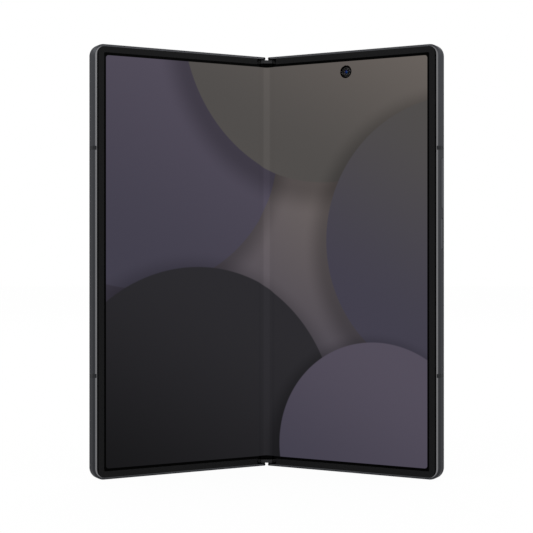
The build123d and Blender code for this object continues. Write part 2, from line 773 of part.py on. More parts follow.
def gear_profile(phase):
    """Gear outline with straight-sided teeth and a bore."""
    step = 2 * pi / GEAR_TEETH
    tooth = (
        (GEAR_ROOT_R, -TOOTH_ROOT_W / 2),
        (GEAR_PITCH_R, -TOOTH_PITCH_W / 2),
        (GEAR_TIP_R, -TOOTH_TIP_W / 2),
        (GEAR_TIP_R, TOOTH_TIP_W / 2),
        (GEAR_PITCH_R, TOOTH_PITCH_W / 2),
        (GEAR_ROOT_R, TOOTH_ROOT_W / 2),
    )
    points = []
    for index in range(GEAR_TEETH):
        for radius, offset in tooth:
            angle = radians(phase) + index * step + offset / radius
            points.append((radius * cos(angle), radius * sin(angle)))
    return make_face(Polyline(*points, close=True)) - Circle(PIN_R + PIN_CLEAR)


def turned_gear(shape, x, turn):
    """Lift a section about the gear's own centre to its pin at both brackets."""
    parts = []
    for offset in MODULE_OFFSETS:
        z = MID_H + offset
        body = column(Rot(0, 0, turn) * shape, z - GEAR_HALF_H, z + GEAR_HALF_H)
        parts.append(Pos(x, GEAR_Y + SPINE_Y, 0) * body)
    return group(parts)


def sync_arm(side):
    """Gear arm: a pinion with a plate that slides in the slot of its half."""
    half_tooth = 180 / GEAR_TEETH
    phase = 0 if side > 0 else 180 - half_tooth
    low = -ARM_DROP - ARM_T / 2
    length = ARM_END_U - ARM_X - ARM_HEEL
    plate = Pos(ARM_HEEL + length / 2, low + ARM_T / 2) * Rectangle(length, ARM_T)
    shape = gear_profile(phase) + plate
    if side < 0:
        shape = mirror(shape, about=Plane.YZ)
    return turned_gear(shape, side * ARM_X, -side * REST_FOLD)


def idler_gear(side):
    """Small gear between the two arms."""
    phase = 180 / GEAR_TEETH if side > 0 else 0
    return turned_gear(gear_profile(phase), side * IDLER_X, side * REST_FOLD)


def wing_plate(side):
    """Support plate behind the folding strip, notched round the hinge parts."""
    z0 = SPINE_Z0 + END_CAP_H + WING_END_GAP
    z1 = HEIGHT - z0
    half_t = WING_T / 2
    body = block(WING_U0, WING_PIVOT_U, WING_PIVOT_N - half_t, WING_PIVOT_N + half_t, z0, z1)
    body += post(WING_PIVOT_U, WING_PIVOT_N, half_t, z0, z1)
    pivot_low = END_WALL - TRUNNION_DEPTH
    body += post(WING_PIVOT_U, WING_PIVOT_N, TRUNNION_R, pivot_low, HEIGHT - pivot_low)
    for offset in MODULE_OFFSETS:
        z = MID_H + offset
        low = z - CHAMBER_HALF_H - CHAMBER_GAP
        high = z + RAIL_MID + RAIL_HALF_H + 2 * CHAMBER_GAP
        body -= block(0, WING_NOTCH_U, 0, 2, low, high)
    pivot = Axis((WING_PIVOT_U, WING_PIVOT_N, 0), (0, 0, 1))
    return place(body.rotate(pivot, -WING_RATIO * REST_FOLD), side)


def rail_at(z):
    """Arc rail that guides a half about its fold axis, with its mounting plate."""
    body = column(
        rail_section(RAIL_IN_R, RAIL_OUT_R - RUN_CLEAR, RAIL_END),
        z - RAIL_HALF_H, z + RAIL_HALF_H)
    body += block(
        AXIS_X + RAIL_IN_R + RAIL_PLATE_LAP, RAIL_PLATE_U1, RAIL_PLATE_N0, RAIL_PLATE_N1,
        z - RAIL_HALF_H, z + RAIL_HALF_H)
    body -= disc(rail_screw_u(), z, RAIL_SCREW_R, 0, RAIL_PLATE_N1 + 1)
    body -= disc(rail_screw_u(), z, RAIL_SCREW_HEAD_R, 0, RAIL_PLATE_N0 + RAIL_SCREW_HEAD_T)
    return body.solid()


def arc_rails(side):
    """The two arc rails of a half."""
    rails = [rail_at(MID_H + offset + RAIL_MID) for offset in MODULE_OFFSETS]
    return place(group(rails), side)


def rail_screws(side):
    """Countersunk screws of the arc rails."""
    screws = []
    for offset in MODULE_OFFSETS:
        z = MID_H + offset + RAIL_MID
        u = rail_screw_u()
        screw = disc(u, z, RAIL_SCREW_R, RAIL_PLATE_N0, RAIL_PLATE_N0 + RAIL_SCREW_L)
        screw += disc(u, z, RAIL_SCREW_HEAD_R, RAIL_PLATE_N0, RAIL_PLATE_N0 + RAIL_SCREW_HEAD_T)
        screws.append(screw)
    return place(group(screws), side)


# ---- Back of the halves ----

def back_glass():
    """Glass pane that closes the back of a half."""
    outline = half_outline(GLASS_INSET + GLASS_FIT, GLASS_INSET + GLASS_FIT, GLASS_U0 + GLASS_FIT)
    pane = slab(outline, GLASS_FRONT, HALF_THICK)
    return chamfer(pane.faces().sort_by(Axis.Y)[-1].edges(), GLASS_CHAMFER)


def island_outline(inset):
    """Pill outline of the camera island."""
    return capsule(ISLAND_U, ISLAND_Z, ISLAND_W - 2 * inset, ISLAND_H - 2 * inset)


def lens_heights():
    """Heights of the three rear lenses."""
    return [ISLAND_Z + step * RING_PITCH for step in (1, 0, -1)]


def flash_place():
    """Place of the flash, beside the top lens."""
    return ISLAND_U - ISLAND_W / 2 - FLASH_GAP, lens_heights()[0]


def rear_glass():
    """Rear pane of the right half with openings for the cameras and the flash."""
    pane = back_glass()
    for z in lens_heights():
        pane -= disc(ISLAND_U, z, RING_IN_R, 0, HALF_THICK + 1)
    flash_u, flash_z = flash_place()
    return pane - disc(flash_u, flash_z, FLASH_R, 0, HALF_THICK + 1)


def camera_island():
    """Raised pill that carries the three lens rings."""
    top = HALF_THICK + ISLAND_RAISE
    body = slab(island_outline(0), HALF_THICK, top)
    body = fillet(body.faces().sort_by(Axis.Y)[-1].edges(), ISLAND_ROUND)
    for z in lens_heights():
        body -= disc(ISLAND_U, z, RING_IN_R, 0, top + 1)
    return body


def lens_rings():
    """Polished rings round the rear lenses."""
    rings = []
    base = HALF_THICK + ISLAND_RAISE
    for z in lens_heights():
        ring = disc(ISLAND_U, z, RING_R, base, base + RING_RAISE)
        ring = chamfer(ring.faces().sort_by(Axis.Y)[-1].edges(), RING_CHAMFER)
        rings.append(ring - disc(ISLAND_U, z, RING_IN_R, 0, base + RING_RAISE + 1))
    return group(rings)


def lens_front():
    """Depth of the front face of the lens glasses."""
    return HALF_THICK + ISLAND_RAISE + RING_RAISE - LENS_SINK - LENS_GLASS_T


def lens_glasses():
    """Clear discs that close the lens rings."""
    front = lens_front()
    back = front + LENS_GLASS_T
    return group([disc(ISLAND_U, z, RING_IN_R, front, back) for z in lens_heights()])


def rear_cameras():
    """Camera modules: a square body in the bay with a barrel up into the ring."""
    modules = []
    half = CAMERA_BODY / 2
    for z in lens_heights():
        body = block(
            ISLAND_U - half, ISLAND_U + half, MID_PLATE_N1, GLASS_FRONT, z - half, z + half)
        body += disc(ISLAND_U, z, CAMERA_BARREL_R, MID_PLATE_N1, lens_front())
        modules.append(body)
    return group(modules)


def flash_lens():
    """Flash diffuser, flush with the rear glass."""
    u, z = flash_place()
    return disc(u, z, FLASH_R, GLASS_FRONT, HALF_THICK)


def cover_display():
    """Outer display panel under the cover glass, holed for its camera."""
    inset = GLASS_INSET + COVER_PANEL_INSET
    outline = half_outline(inset, inset, BAY_U0 + PART_GAP)
    panel = slab(outline, GLASS_FRONT - COVER_PANEL_T, GLASS_FRONT)
    return panel - disc(COVER_CAM_U, COVER_CAM_Z, COVER_CAM_R, 0, HALF_THICK)


def cover_camera():
    """Small camera behind the cover glass."""
    u, z = COVER_CAM_U, COVER_CAM_Z
    half = CAM_BOX / 2
    bottom = GLASS_FRONT - COVER_PANEL_T
    body = block(u - half, u + half, MID_PLATE_N1, bottom, z - half, z + half)
    return body + disc(u, z, COVER_CAM_R, MID_PLATE_N1, GLASS_FRONT)


def inner_camera():
    """Camera behind the hole in the inner display."""
    half = CAM_BOX / 2
    back = GLASS_FRONT - CAM_BACK_GAP
    body = block(
        INNER_CAM_U - half, INNER_CAM_U + half, MID_PLATE_N1, back,
        INNER_CAM_Z - half, INNER_CAM_Z + half)
    return body + disc(INNER_CAM_U, INNER_CAM_Z, INNER_BARREL_R, PANEL_T, back)


def inner_camera_window():
    """Clear disc in the hole of the inner display, seated on the mid plate."""
    return disc(INNER_CAM_U, INNER_CAM_Z, INNER_CAM_R, INNER_WINDOW_SINK, PANEL_T)


# ---- Keys, port and tray ----

def key_back_u():
    """Distance of the back of the keys from the spine."""
    return HALF_W - SIDE_WALL - KEY_TAB_GAP - KEY_TAB_T


def key_body(z0, z1, outer_u):
    """Key: a round-ended head through the wall and a tabbed base behind it."""
    back_u = key_back_u()
    middle = (z0 + z1) / 2
    side_plane = Plane(origin=(back_u, 0, 0), x_dir=(0, 1, 0), z_dir=(1, 0, 0))
    outline = Pos(KEY_N, middle) * Rot(0, 0, 90) * SlotOverall(z1 - z0, KEY_WIDTH)
    head = extrude(side_plane * outline, amount=outer_u - back_u)
    head = fillet(head.faces().sort_by(Axis.X)[-1].edges(), KEY_ROUND)
    return head + block(
        back_u, back_u + KEY_TAB_T, KEY_N - KEY_WIDTH / 2, KEY_N + KEY_WIDTH / 2,
        z0 - KEY_TAB_Z, z1 + KEY_TAB_Z)


def volume_rocker():
    """Volume key with a round rib behind its middle, on which it rocks."""
    key = key_body(ROCKER_Z0, ROCKER_Z1, HALF_W + ROCKER_RAISE)
    rib = disc(
        key_back_u(), (ROCKER_Z0 + ROCKER_Z1) / 2, ROCKER_RIB_R,
        KEY_N - KEY_WIDTH / 2, KEY_N + KEY_WIDTH / 2)
    return key + (rib & block(
        0, key_back_u() + KEY_TAB_T, 0, HALF_THICK, ROCKER_Z0, ROCKER_Z1))


def side_key():
    """Flat side key, a little below the edge."""
    return key_body(SIDE_KEY_Z0, SIDE_KEY_Z1, HALF_W - SIDE_KEY_SINK)


def key_switches():
    """Narrow board on edge behind the keys, with three dome switches."""
    dome_u = key_back_u() - KEY_TRAVEL_GAP
    board_u = dome_u - SWITCH_T
    low, high = SIDE_KEY_Z0 - KEY_TAB_Z, ROCKER_Z1 + KEY_TAB_Z
    board = block(
        board_u - SWITCH_BOARD_T, board_u, MID_PLATE_N1, GLASS_FRONT - PART_GAP, low, high)
    side_plane = Plane(origin=(board_u, 0, 0), x_dir=(0, 1, 0), z_dir=(1, 0, 0))
    inset = 2 * SWITCH_R
    places = ((SIDE_KEY_Z0 + SIDE_KEY_Z1) / 2, ROCKER_Z0 + inset, ROCKER_Z1 - inset)
    for z in places:
        board += extrude(side_plane * (Pos(KEY_N, z) * Circle(SWITCH_R)), amount=SWITCH_T)
    return board


def usb_c_shell():
    """Steel shell of the charging port, closed at its inner end."""
    shell = column(port_outline(PORT_WALL), 0, PORT_LENGTH)
    return shell - column(port_outline(0), -1, PORT_LENGTH - PORT_WALL)


def usb_c_tongue():
    """Contact tongue in the charging port."""
    top = PORT_LENGTH - PORT_WALL
    body = block(
        PORT_U - TONGUE_W / 2, PORT_U + TONGUE_W / 2,
        PORT_N - TONGUE_T / 2, PORT_N + TONGUE_T / 2, TONGUE_INSET, top)
    return body + column(port_outline(0), TONGUE_INSET + TONGUE_LENGTH, top)


def sim_tray():
    """Tray with a face in the top edge and a blade that carries the card."""
    body = column(tray_outline(0), HEIGHT - TRAY_FACE_T, HEIGHT)
    body -= post(
        TRAY_U + TRAY_W / 2 - TRAY_H / 2, TRAY_N, TRAY_HOLE_R, HEIGHT - 2 * TRAY_FACE_T, HEIGHT + 1)
    half = TRAY_BLADE_W / 2
    z0 = HEIGHT - TRAY_LENGTH
    low, high = TRAY_N - TRAY_BLADE_T / 2, TRAY_N + TRAY_BLADE_T / 2
    blade = block(TRAY_U - half, TRAY_U + half, low, high, z0, HEIGHT - TRAY_FACE_T)
    blade -= block(
        TRAY_U - half + TRAY_RAIL_W, TRAY_U + half - TRAY_RAIL_W, low + TRAY_FLOOR_T, high + 1,
        z0 + TRAY_END_BAR, HEIGHT - END_WALL - TRAY_END_BAR)
    return body + blade


def sim_slot():
    """Sheet-metal housing that the tray slides in."""
    half = TRAY_BLADE_W / 2 + TRAY_GAP
    low = TRAY_N - TRAY_BLADE_T / 2 - TRAY_GAP
    high = TRAY_N + TRAY_BLADE_T / 2 + TRAY_GAP
    wall = TRAY_SLOT_WALL
    z0 = HEIGHT - TRAY_LENGTH - TRAY_SLOT_END
    body = block(
        TRAY_U - half - wall, TRAY_U + half + wall, low - wall, high + wall,
        z0, HEIGHT - END_WALL)
    return body - block(
        TRAY_U - half, TRAY_U + half, low, high, z0 + wall, HEIGHT)


# ---- Packed insides ----

def battery(z0, z1, back):
    """Pouch cell with rounded edges, on the mid plate."""
    body = block(BATTERY_U0, BATTERY_U1, MID_PLATE_N1, back, z0, z1)
    return fillet(body.edges().filter_by(Axis.Y), BATTERY_ROUND)


def board_top():
    """Height of the upper edge of the main board."""
    return HEIGHT - END_WALL - BOARD_MARGIN


def board_edge_u():
    """Edge of the main board beside the rear cameras."""
    return ISLAND_U - CAMERA_BODY / 2 - BOARD_CUT_GAP


def main_board():
    """Circuit board above the battery, cut out round the rear cameras."""
    low = RIGHT_BATTERY_Z1 + BOARD_BATTERY_GAP
    high = board_top()
    u1 = HALF_W - SIDE_WALL - BOARD_SIDE
    board = block(BATTERY_U0, u1, BOARD_N0, BOARD_N0 + BOARD_T, low, high)
    board -= block(
        board_edge_u(), u1 + 1, 0, HALF_THICK, CAMERAS_LOW_Z - BOARD_CUT_GAP, high + 1)
    half = CAM_BOX / 2 + BOARD_CUT_GAP
    return board - block(
        INNER_CAM_U - half, INNER_CAM_U + half, 0, HALF_THICK, INNER_CAM_Z - half, high + 1)


def board_shields():
    """Two large shield cans side by side on the main board and a small one above."""
    base = BOARD_N0 + BOARD_T
    low = RIGHT_BATTERY_Z1 + BOARD_BATTERY_GAP + SHIELD_INSET
    first_u = BATTERY_U0 + SHIELD_GAP
    last_u = board_edge_u() - SHIELD_EDGE
    width = (last_u - first_u - SHIELD_GAP) / 2
    cans = (
        (first_u, low, width, SHIELD_L),
        (last_u - width, low, width, SHIELD_L),
        (first_u, low + SHIELD_L + SHIELD_GAP, SMALL_SHIELD_W, SMALL_SHIELD_L),
    )
    return group([
        block(u, u + width, base, base + SHIELD_T, z, z + length)
        for u, z, width, length in cans
    ])


def board_standoffs(u0, u1, z0, z1):
    """Four short posts between the mid plate and the corners of a board."""
    posts = []
    for u in (u0 + STANDOFF_INSET, u1 - STANDOFF_INSET):
        for z in (z0 + STANDOFF_INSET, z1 - STANDOFF_INSET):
            posts.append(disc(u, z, STANDOFF_R, MID_PLATE_N1, BOARD_N0))
    return posts


def sub_board():
    """Board below the left battery, on its standoffs."""
    u1 = BATTERY_U0 + SUB_BOARD_W
    z0, z1 = END_WALL + BOARD_MARGIN, LEFT_BATTERY_Z0 - BOARD_BATTERY_GAP
    board = block(BATTERY_U0, u1, BOARD_N0, BOARD_N0 + BOARD_T, z0, z1)
    for standoff in board_standoffs(BATTERY_U0, u1, z0, z1):
        board += standoff
    return board.solid()


def main_board_posts():
    """Standoffs of the main board."""
    low = RIGHT_BATTERY_Z1 + BOARD_BATTERY_GAP
    return group(board_standoffs(BATTERY_U0, board_edge_u(), low, board_top()))


def charging_coil():
    """Flat charging coil behind the right battery."""
    z = (RIGHT_BATTERY_Z0 + RIGHT_BATTERY_Z1) / 2
    u = (BATTERY_U0 + BATTERY_U1) / 2
    ring = Pos(u, z) * (Circle(COIL_R) - Circle(COIL_IN_R))
    return slab(ring, GLASS_FRONT - COIL_T, GLASS_FRONT)


def sound_box(u, z0, z1):
    """Closed speaker box in the bay."""
    half = SPEAKER_W / 2
    body = block(u - half, u + half, MID_PLATE_N1, MID_PLATE_N1 + SPEAKER_T, z0, z1)
    return fillet(body.edges().filter_by(Axis.Y), SPEAKER_ROUND)


def vibration_motor():
    """Flat round motor beside the sub board."""
    u = BATTERY_U0 + SUB_BOARD_W + MOTOR_GAP + MOTOR_R
    z = (END_WALL + LEFT_BATTERY_Z0) / 2
    return disc(u, z, MOTOR_R, MID_PLATE_N1, MID_PLATE_N1 + MOTOR_T)


def magnets():
    """Closing magnets along the outer edge of a half."""
    u1 = HALF_W - SIDE_WALL - MAGNET_GAP
    bars = []
    for offset in MAGNET_OFFSETS:
        z = MID_H + offset
        bars.append(block(
            u1 - MAGNET_W, u1, MID_PLATE_N1, MID_PLATE_N1 + MAGNET_T,
            z - MAGNET_L / 2, z + MAGNET_L / 2))
    return group(bars)


def microphone():
    """Microphone behind its hole in the bottom edge."""
    return block(
        MIC_U - MIC_W / 2, MIC_U + MIC_W / 2, MID_PLATE_N1, MID_PLATE_N1 + MIC_T,
        END_WALL, END_WALL + MIC_L)


def build():
    """Make every piece at its resting place, by name."""
    left, right = -1, 1
    top = HEIGHT - END_WALL
    back = GLASS_FRONT
    pieces = {
        "spine_cover": place_fixed(spine_cover()),
        "spine_end_caps": place_fixed(spine_end_caps()),
        "hinge_brackets": place_fixed(hinge_brackets()),
        "gear_pins": place_fixed(gear_pins()),
        "friction_washers": place_fixed(friction_washers()),
        "spine_screws": place_fixed(spine_screws()),
        "inner_display_fold": place_fixed(inner_display_fold()),
        "inner_display_left": place(panel_half(), left),
        "inner_display_right": place(inner_display_right(), right),
        "left_frame": place(left_frame(), left),
        "right_frame": place(right_frame(), right),
        "cover_glass": place(back_glass(), left),
        "cover_display": place(cover_display(), left),
        "cover_camera": place(cover_camera(), left),
        "left_battery": place(
            battery(LEFT_BATTERY_Z0, LEFT_BATTERY_Z1, back - COVER_PANEL_T - PART_GAP), left),
        "sub_board": place(sub_board(), left),
        "vibration_motor": place(vibration_motor(), left),
        "earpiece": place(sound_box(EARPIECE_U, top - SPEAKER_L, top), left),
        "sim_tray": place(sim_tray(), left),
        "sim_slot": place(sim_slot(), left),
        "rear_glass": place(rear_glass(), right),
        "camera_island": place(camera_island(), right),
        "lens_rings": place(lens_rings(), right),
        "lens_glasses": place(lens_glasses(), right),
        "rear_cameras": place(rear_cameras(), right),
        "flash_lens": place(flash_lens(), right),
        "inner_camera": place(inner_camera(), right),
        "inner_camera_window": place(inner_camera_window(), right),
        "right_battery": place(
            battery(RIGHT_BATTERY_Z0, RIGHT_BATTERY_Z1, back - COIL_T - PART_GAP), right),
        "charging_coil": place(charging_coil(), right),
        "main_board": place(main_board(), right),
        "main_board_posts": place(main_board_posts(), right),
        "board_shields": place(board_shields(), right),
        "loudspeaker": place(sound_box(LOUDSPEAKER_U, END_WALL, END_WALL + SPEAKER_L), right),
        "microphone": place(microphone(), right),
        "usb_c_shell": place(usb_c_shell(), right),
        "usb_c_tongue": place(usb_c_tongue(), right),
        "volume_rocker": place(volume_rocker(), right),
        "side_key": place(side_key(), right),
        "key_switches": place(key_switches(), right),
    }
    for name, side in (("left", left), ("right", right)):
        pieces[name + "_bezel"] = place(bezel(), side)
        pieces[name + "_antenna_breaks"] = place(antenna_breaks(), side)
        pieces[name + "_sync_arm"] = sync_arm(side)
        pieces[name + "_idler_gear"] = idler_gear(side)
        pieces[name + "_wing_plate"] = wing_plate(side)
        pieces[name + "_arc_rails"] = arc_rails(side)
        pieces[name + "_rail_screws"] = rail_screws(side)
        pieces[name + "_magnets"] = place(magnets(), side)
    return pieces


os.makedirs("parts", exist_ok=True)
for node, shape in build().items():
    export_step(shape, "parts/" + node + ".step")
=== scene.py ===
import json
from math import cos, hypot, pi, radians, sin

import bmesh
import bpy
import numpy as np
from bpy.props import FloatProperty, FloatVectorProperty, IntProperty, PointerProperty
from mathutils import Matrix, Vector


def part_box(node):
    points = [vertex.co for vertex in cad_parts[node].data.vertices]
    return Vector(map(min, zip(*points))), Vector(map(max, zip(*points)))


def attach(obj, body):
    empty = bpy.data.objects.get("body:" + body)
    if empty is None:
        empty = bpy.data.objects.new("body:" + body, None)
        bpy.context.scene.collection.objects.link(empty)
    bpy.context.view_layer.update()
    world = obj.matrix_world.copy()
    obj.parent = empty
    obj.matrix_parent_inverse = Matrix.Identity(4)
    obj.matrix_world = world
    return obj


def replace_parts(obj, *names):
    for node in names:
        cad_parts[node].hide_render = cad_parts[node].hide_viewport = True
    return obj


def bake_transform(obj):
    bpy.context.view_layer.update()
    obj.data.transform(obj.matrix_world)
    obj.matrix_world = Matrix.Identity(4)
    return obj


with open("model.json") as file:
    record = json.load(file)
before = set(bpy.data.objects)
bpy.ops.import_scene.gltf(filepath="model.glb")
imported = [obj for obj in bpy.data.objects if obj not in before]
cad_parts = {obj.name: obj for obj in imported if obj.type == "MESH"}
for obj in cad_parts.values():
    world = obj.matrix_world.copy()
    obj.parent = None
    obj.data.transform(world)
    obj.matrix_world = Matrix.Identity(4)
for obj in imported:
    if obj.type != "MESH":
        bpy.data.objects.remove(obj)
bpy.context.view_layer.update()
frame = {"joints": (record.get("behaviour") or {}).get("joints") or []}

bl_info = {
    "name": "Folding phone",
    "version": (1, 0, 0),
    "blender": (4, 5, 0),
    "location": "View3D > Sidebar > Folding phone",
    "description": "Dresses a book-style folding phone: lit inner display, optics, glass and "
                   "metal finishes",
    "category": "Object",
}

MM = 0.001

# ---- Places, in millimetres of a half laid flat: u out from the spine, n deep, z high ----
FOLD_JOINT = next(j for j in frame["joints"] if j["name"] == "right_fold")
AXIS_X = FOLD_JOINT["pos_m"][0] / MM
AXIS_N = 1.0
SPINE_SHIFT = FOLD_JOINT["pos_m"][1] / MM - AXIS_N
REST_FOLD = -FOLD_JOINT["range_deg"][0]
TURN = radians(REST_FOLD)
HEIGHT = (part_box("left_frame")[1].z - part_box("left_frame")[0].z) / MM
MID_H = HEIGHT / 2
HALF_W = 71.6
HALF_THICK = 4.2
FRAME_CORNER = 4.4
RIM_SIDE = 1.5
RIM_END = 0.83
RIM_CHAMFER = 0.65
PANEL_U1 = 67.95
PANEL_HALF_H = 76.45
PANEL_T = 0.5
PANEL_CORNER = 1.6
ACTIVE_HALF_W = 66.65
ACTIVE_HALF_H = 75.15
ACTIVE_CORNER = 1.0
FOLD_U = 4.0
FOLD_PINCH = 0.12
PUNCH_U = 34.0
PUNCH_Z = 150.52
PUNCH_R = 2.45
PUNCH_BARREL_R = 1.9
WINDOW_SINK = 0.08
REAR_U = 59.45
REAR_LENS_Z = (145.7, 129.5, 113.3)
REAR_GLASS_N = 5.95
REAR_GLASS_T = 0.4
REAR_BODY_N = 0.95
REAR_BODY = 11.0
REAR_BARREL_R = 4.4
RING_IN_R = 5.8
ISLAND_TOP = 5.3
CAMERA_BOX = 6.0
COVER_CAM_U = 37.9
COVER_CAM_Z = 150.9
COVER_CAM_R = 1.9
FLASH_U = 46.1
FLASH_R = 2.6
GLASS_FRONT = 3.5
SLOT_N = 2.225
SLOT_PITCH = 3.4
SLOT_L = 2.4
SLOT_H = 1.0
LOUDSPEAKER_U = 54.97
EARPIECE_U = 53.0
PORT_U = 36.0
PORT_N = 2.0
CONTACT_PITCH = 0.5

# ---- Camera, in pixels, millimetres of film and metres, and the stage's whites ----
IMAGE_SIZE = 533
FOCAL_PIXELS = 1290
FILM_WIDTH = 36.0
CAMERA_AT = (0, -0.4852, 0.0812)
CAMERA_SHIFT = (-0.0003, -0.0191)
WORLD_FILL = 0.85
FLOOR_WHITE = 0.965


def linear(code):
    """Linear RGB of an sRGB hex colour."""
    parts = [int(code[i:i + 2], 16) / 255 for i in (1, 3, 5)]
    return tuple(c / 12.92 if c <= 0.04045 else ((c + 0.055) / 1.055) ** 2.4 for c in parts)


def hue(text, code):
    """Colour property with an sRGB hex default."""
    return FloatVectorProperty(
        name=text, description=text + " colour", subtype="COLOR", size=3, min=0, max=1,
        default=linear(code))


class PhoneColours(bpy.types.PropertyGroup):
    """Colours of the finishes and of the picture on the inner display."""
    frame_side: hue("Frame sides", "#404144")
    keys: hue("Side keys", "#4d4e51")
    # The bright-cut rim carries a painted highlight along the sides; the rim at the ends is a
    # darker painted shade.
    bright_cut_rim_painted_highlight: hue("Bright front rim", "#727274")
    frame_end: hue("Rim at the ends", "#5c5d60")
    breaks: hue("Antenna breaks", "#28292b")
    bezel: hue("Bezel plastic", "#111112")
    cap: hue("Spine caps", "#1a1a1c")
    spine: hue("Spine cover", "#2d2d30")
    rear: hue("Frosted rear glass", "#34363c")
    cover: hue("Cover glass", "#050507")
    island: hue("Camera island", "#3a3c42")
    rings: hue("Lens rings", "#8b8d93")
    picture_taupe: hue("Picture, taupe", "#7b726c")
    picture_stone: hue("Picture, stone", "#54514f")
    picture_slate: hue("Picture, slate violet", "#57515f")
    picture_plum: hue("Picture, plum grey", "#454250")
    picture_ink: hue("Picture, ink", "#131314")
    picture_ash: hue("Picture, ash", "#2d2c30")


class PhoneSizes(bpy.types.PropertyGroup):
    """Sizes of the detail that is added to the solid parts."""
    # Half width of the painted sheen: a lighter band painted along the fold.
    crease_sheen_reach: FloatProperty(
        name="Crease half width", description="Half width of the faint band along the fold",
        default=1.5 * MM, min=0.2 * MM, max=4 * MM, unit="LENGTH")
    blast_grain: FloatProperty(
        name="Blast grain", description="Grain of the bead-blasted metal",
        default=0.16 * MM, min=0.02 * MM, max=1 * MM, unit="LENGTH")
    mesh_pitch: FloatProperty(
        name="Mesh pitch", description="Wire spacing of the woven speaker mesh",
        default=0.2 * MM, min=0.1 * MM, max=1 * MM, unit="LENGTH")
    contact_count: IntProperty(
        name="Contacts", description="Contacts on each side of the port's tongue",
        default=12, min=1, max=24)
    ridge_pitch: FloatProperty(
        name="Ridge pitch", description="Spacing of the ring ridges in the flash lens",
        default=0.32 * MM, min=0.1 * MM, max=1 * MM, unit="LENGTH")


# ---- Placing and meshing ----

def on_half(side, u, n, z):
    """Points of a flat half, in millimetres, to their resting place in metres.

    x = ax + (u - ax) cos a + (n - an) sin a and y = an - (u - ax) sin a + (n - an) cos a,
    with a the resting fold, (ax, an) the fold axis, and x mirrored on the left side.
    """
    return folded(side, u, n, z, TURN)


def folded(side, u, n, z, turn):
    """As on_half, but with an angle of fold of its own for each point."""
    u, n, z, turn = np.broadcast_arrays(*(np.asarray(a, float) for a in (u, n, z, turn)))
    du, dn = u - AXIS_X, n - AXIS_N
    x = AXIS_X + du * np.cos(turn) + dn * np.sin(turn)
    y = AXIS_N - du * np.sin(turn) + dn * np.cos(turn) + SPINE_SHIFT
    return np.stack([side * x, y, z], -1) * MM


def outward(side):
    """Direction that points out of the back of a half."""
    return side * sin(TURN), cos(TURN), 0.0


def weld(mesh):
    """Join points that coincide, such as the poles of turned shapes, and drop unused ones."""
    work = bmesh.new()
    work.from_mesh(mesh)
    bmesh.ops.remove_doubles(work, verts=work.verts, dist=0.0003 * MM)
    loose = [point for point in work.verts if not point.link_faces]
    bmesh.ops.delete(work, geom=loose, context="VERTS")
    work.to_mesh(mesh)
    work.free()


def mesh_object(name, points, quads, uv=None):
    """Mesh object at the origin from points and quads, smooth shaded, with an optional UV map."""
    mesh = bpy.data.meshes.new(name)
    mesh.from_pydata(points.reshape(-1, 3).tolist(), [], quads.reshape(-1, 4).tolist())
    mesh.polygons.foreach_set("use_smooth", np.ones(len(mesh.polygons), bool))
    if uv is not None:
        layer = mesh.uv_layers.new(name="flat")
        corner = np.empty(len(mesh.loops), int)
        mesh.loops.foreach_get("vertex_index", corner)
        layer.data.foreach_set("uv", uv.reshape(-1, 2)[corner].astype(np.float32).ravel())
    weld(mesh)
    made = bpy.data.objects.new(name, mesh)
    bpy.context.scene.collection.objects.link(made)
    return made


def grid_quads(rows, columns, start=0, closed=False):
    """Quads of a grid of points, row by row; closed joins the last column to the first."""
    i = np.arange(rows - 1)[:, None]
    j = np.arange(columns if closed else columns - 1)[None, :]
    k = (j + 1) % columns
    corners = (i * columns + j, i * columns + k, (i + 1) * columns + k, (i + 1) * columns + j)
    return start + np.stack(np.broadcast_arrays(*corners), -1).reshape(-1, 4)


def join(*parts):
    """One set of points and quads from several (points, quads) pairs."""
    points, quads, start = [], [], 0
    for block, faces in parts:
        block = block.reshape(-1, 3)
        points.append(block)
        quads.append(faces + start)
        start += len(block)
    return np.concatenate(points), np.concatenate(quads)


def turned(side, u, z, profile, steps=96):
    """A profile of (radius, depth) points turned about an axis that points to the back.

    point(i, t) = (u + r_i cos t, n_i, z + r_i sin t). The profile runs clockwise seen
    with the radius to the right and the depth up, so that the faces point outwards.
    """
    profile = np.asarray(profile, float)
    t = np.linspace(0, 2 * pi, steps, endpoint=False)[None, :]
    r, n = profile[:, :1], profile[:, 1:]
    points = on_half(side, u + r * np.cos(t), n + 0 * t, z + r * np.sin(t))
    quads = grid_quads(len(profile), steps, closed=True)
    return points, quads if side > 0 else quads[:, ::-1]


def smooth_edges(obj, angle=35, width=0.0, segments=2):
    """Keep edges sharper than an angle crisp, after an optional small bevel in metres."""
    if width:
        bevel = obj.modifiers.new("Bevel", "BEVEL")
        bevel.width, bevel.segments, bevel.limit_method = width, segments, "ANGLE"
    obj.data.set_sharp_from_angle(angle=radians(angle))


# ---- Materials ----

# Dyed oxide takes the white out of the metal's mirror at a grazing angle.
EDGE_TINT = (0.6, 0.6, 0.61)


def add(tree, kind, inputs=None, **settings):
    """Add a node, set its properties, and fill its inputs by value or by link."""
    made = tree.nodes.new(kind)
    for key, value in settings.items():
        setattr(made, key, value)
    for key, value in (inputs or {}).items():
        if isinstance(value, bpy.types.NodeSocket):
            tree.links.new(value, made.inputs[key])
        elif made.inputs[key].type == "RGBA":
            made.inputs[key].default_value = (*value[:3], 1.0)
        else:
            made.inputs[key].default_value = value
    return made


def new_material(name, **inputs):
    """Material with a Principled shader whose own sockets hold the constant values."""
    made = bpy.data.materials.new(name)
    made.use_nodes = True
    shader = made.node_tree.nodes["Principled BSDF"]
    for key, value in inputs.items():
        socket = shader.inputs[key.replace("_", " ")]
        socket.default_value = (*value[:3], 1.0) if socket.type == "RGBA" else value
    return made, made.node_tree, shader


def wire(tree, shader, **sources):
    """Link sockets to the Principled shader's inputs."""
    for key, source in sources.items():
        tree.links.new(source, shader.inputs[key.replace("_", " ")])


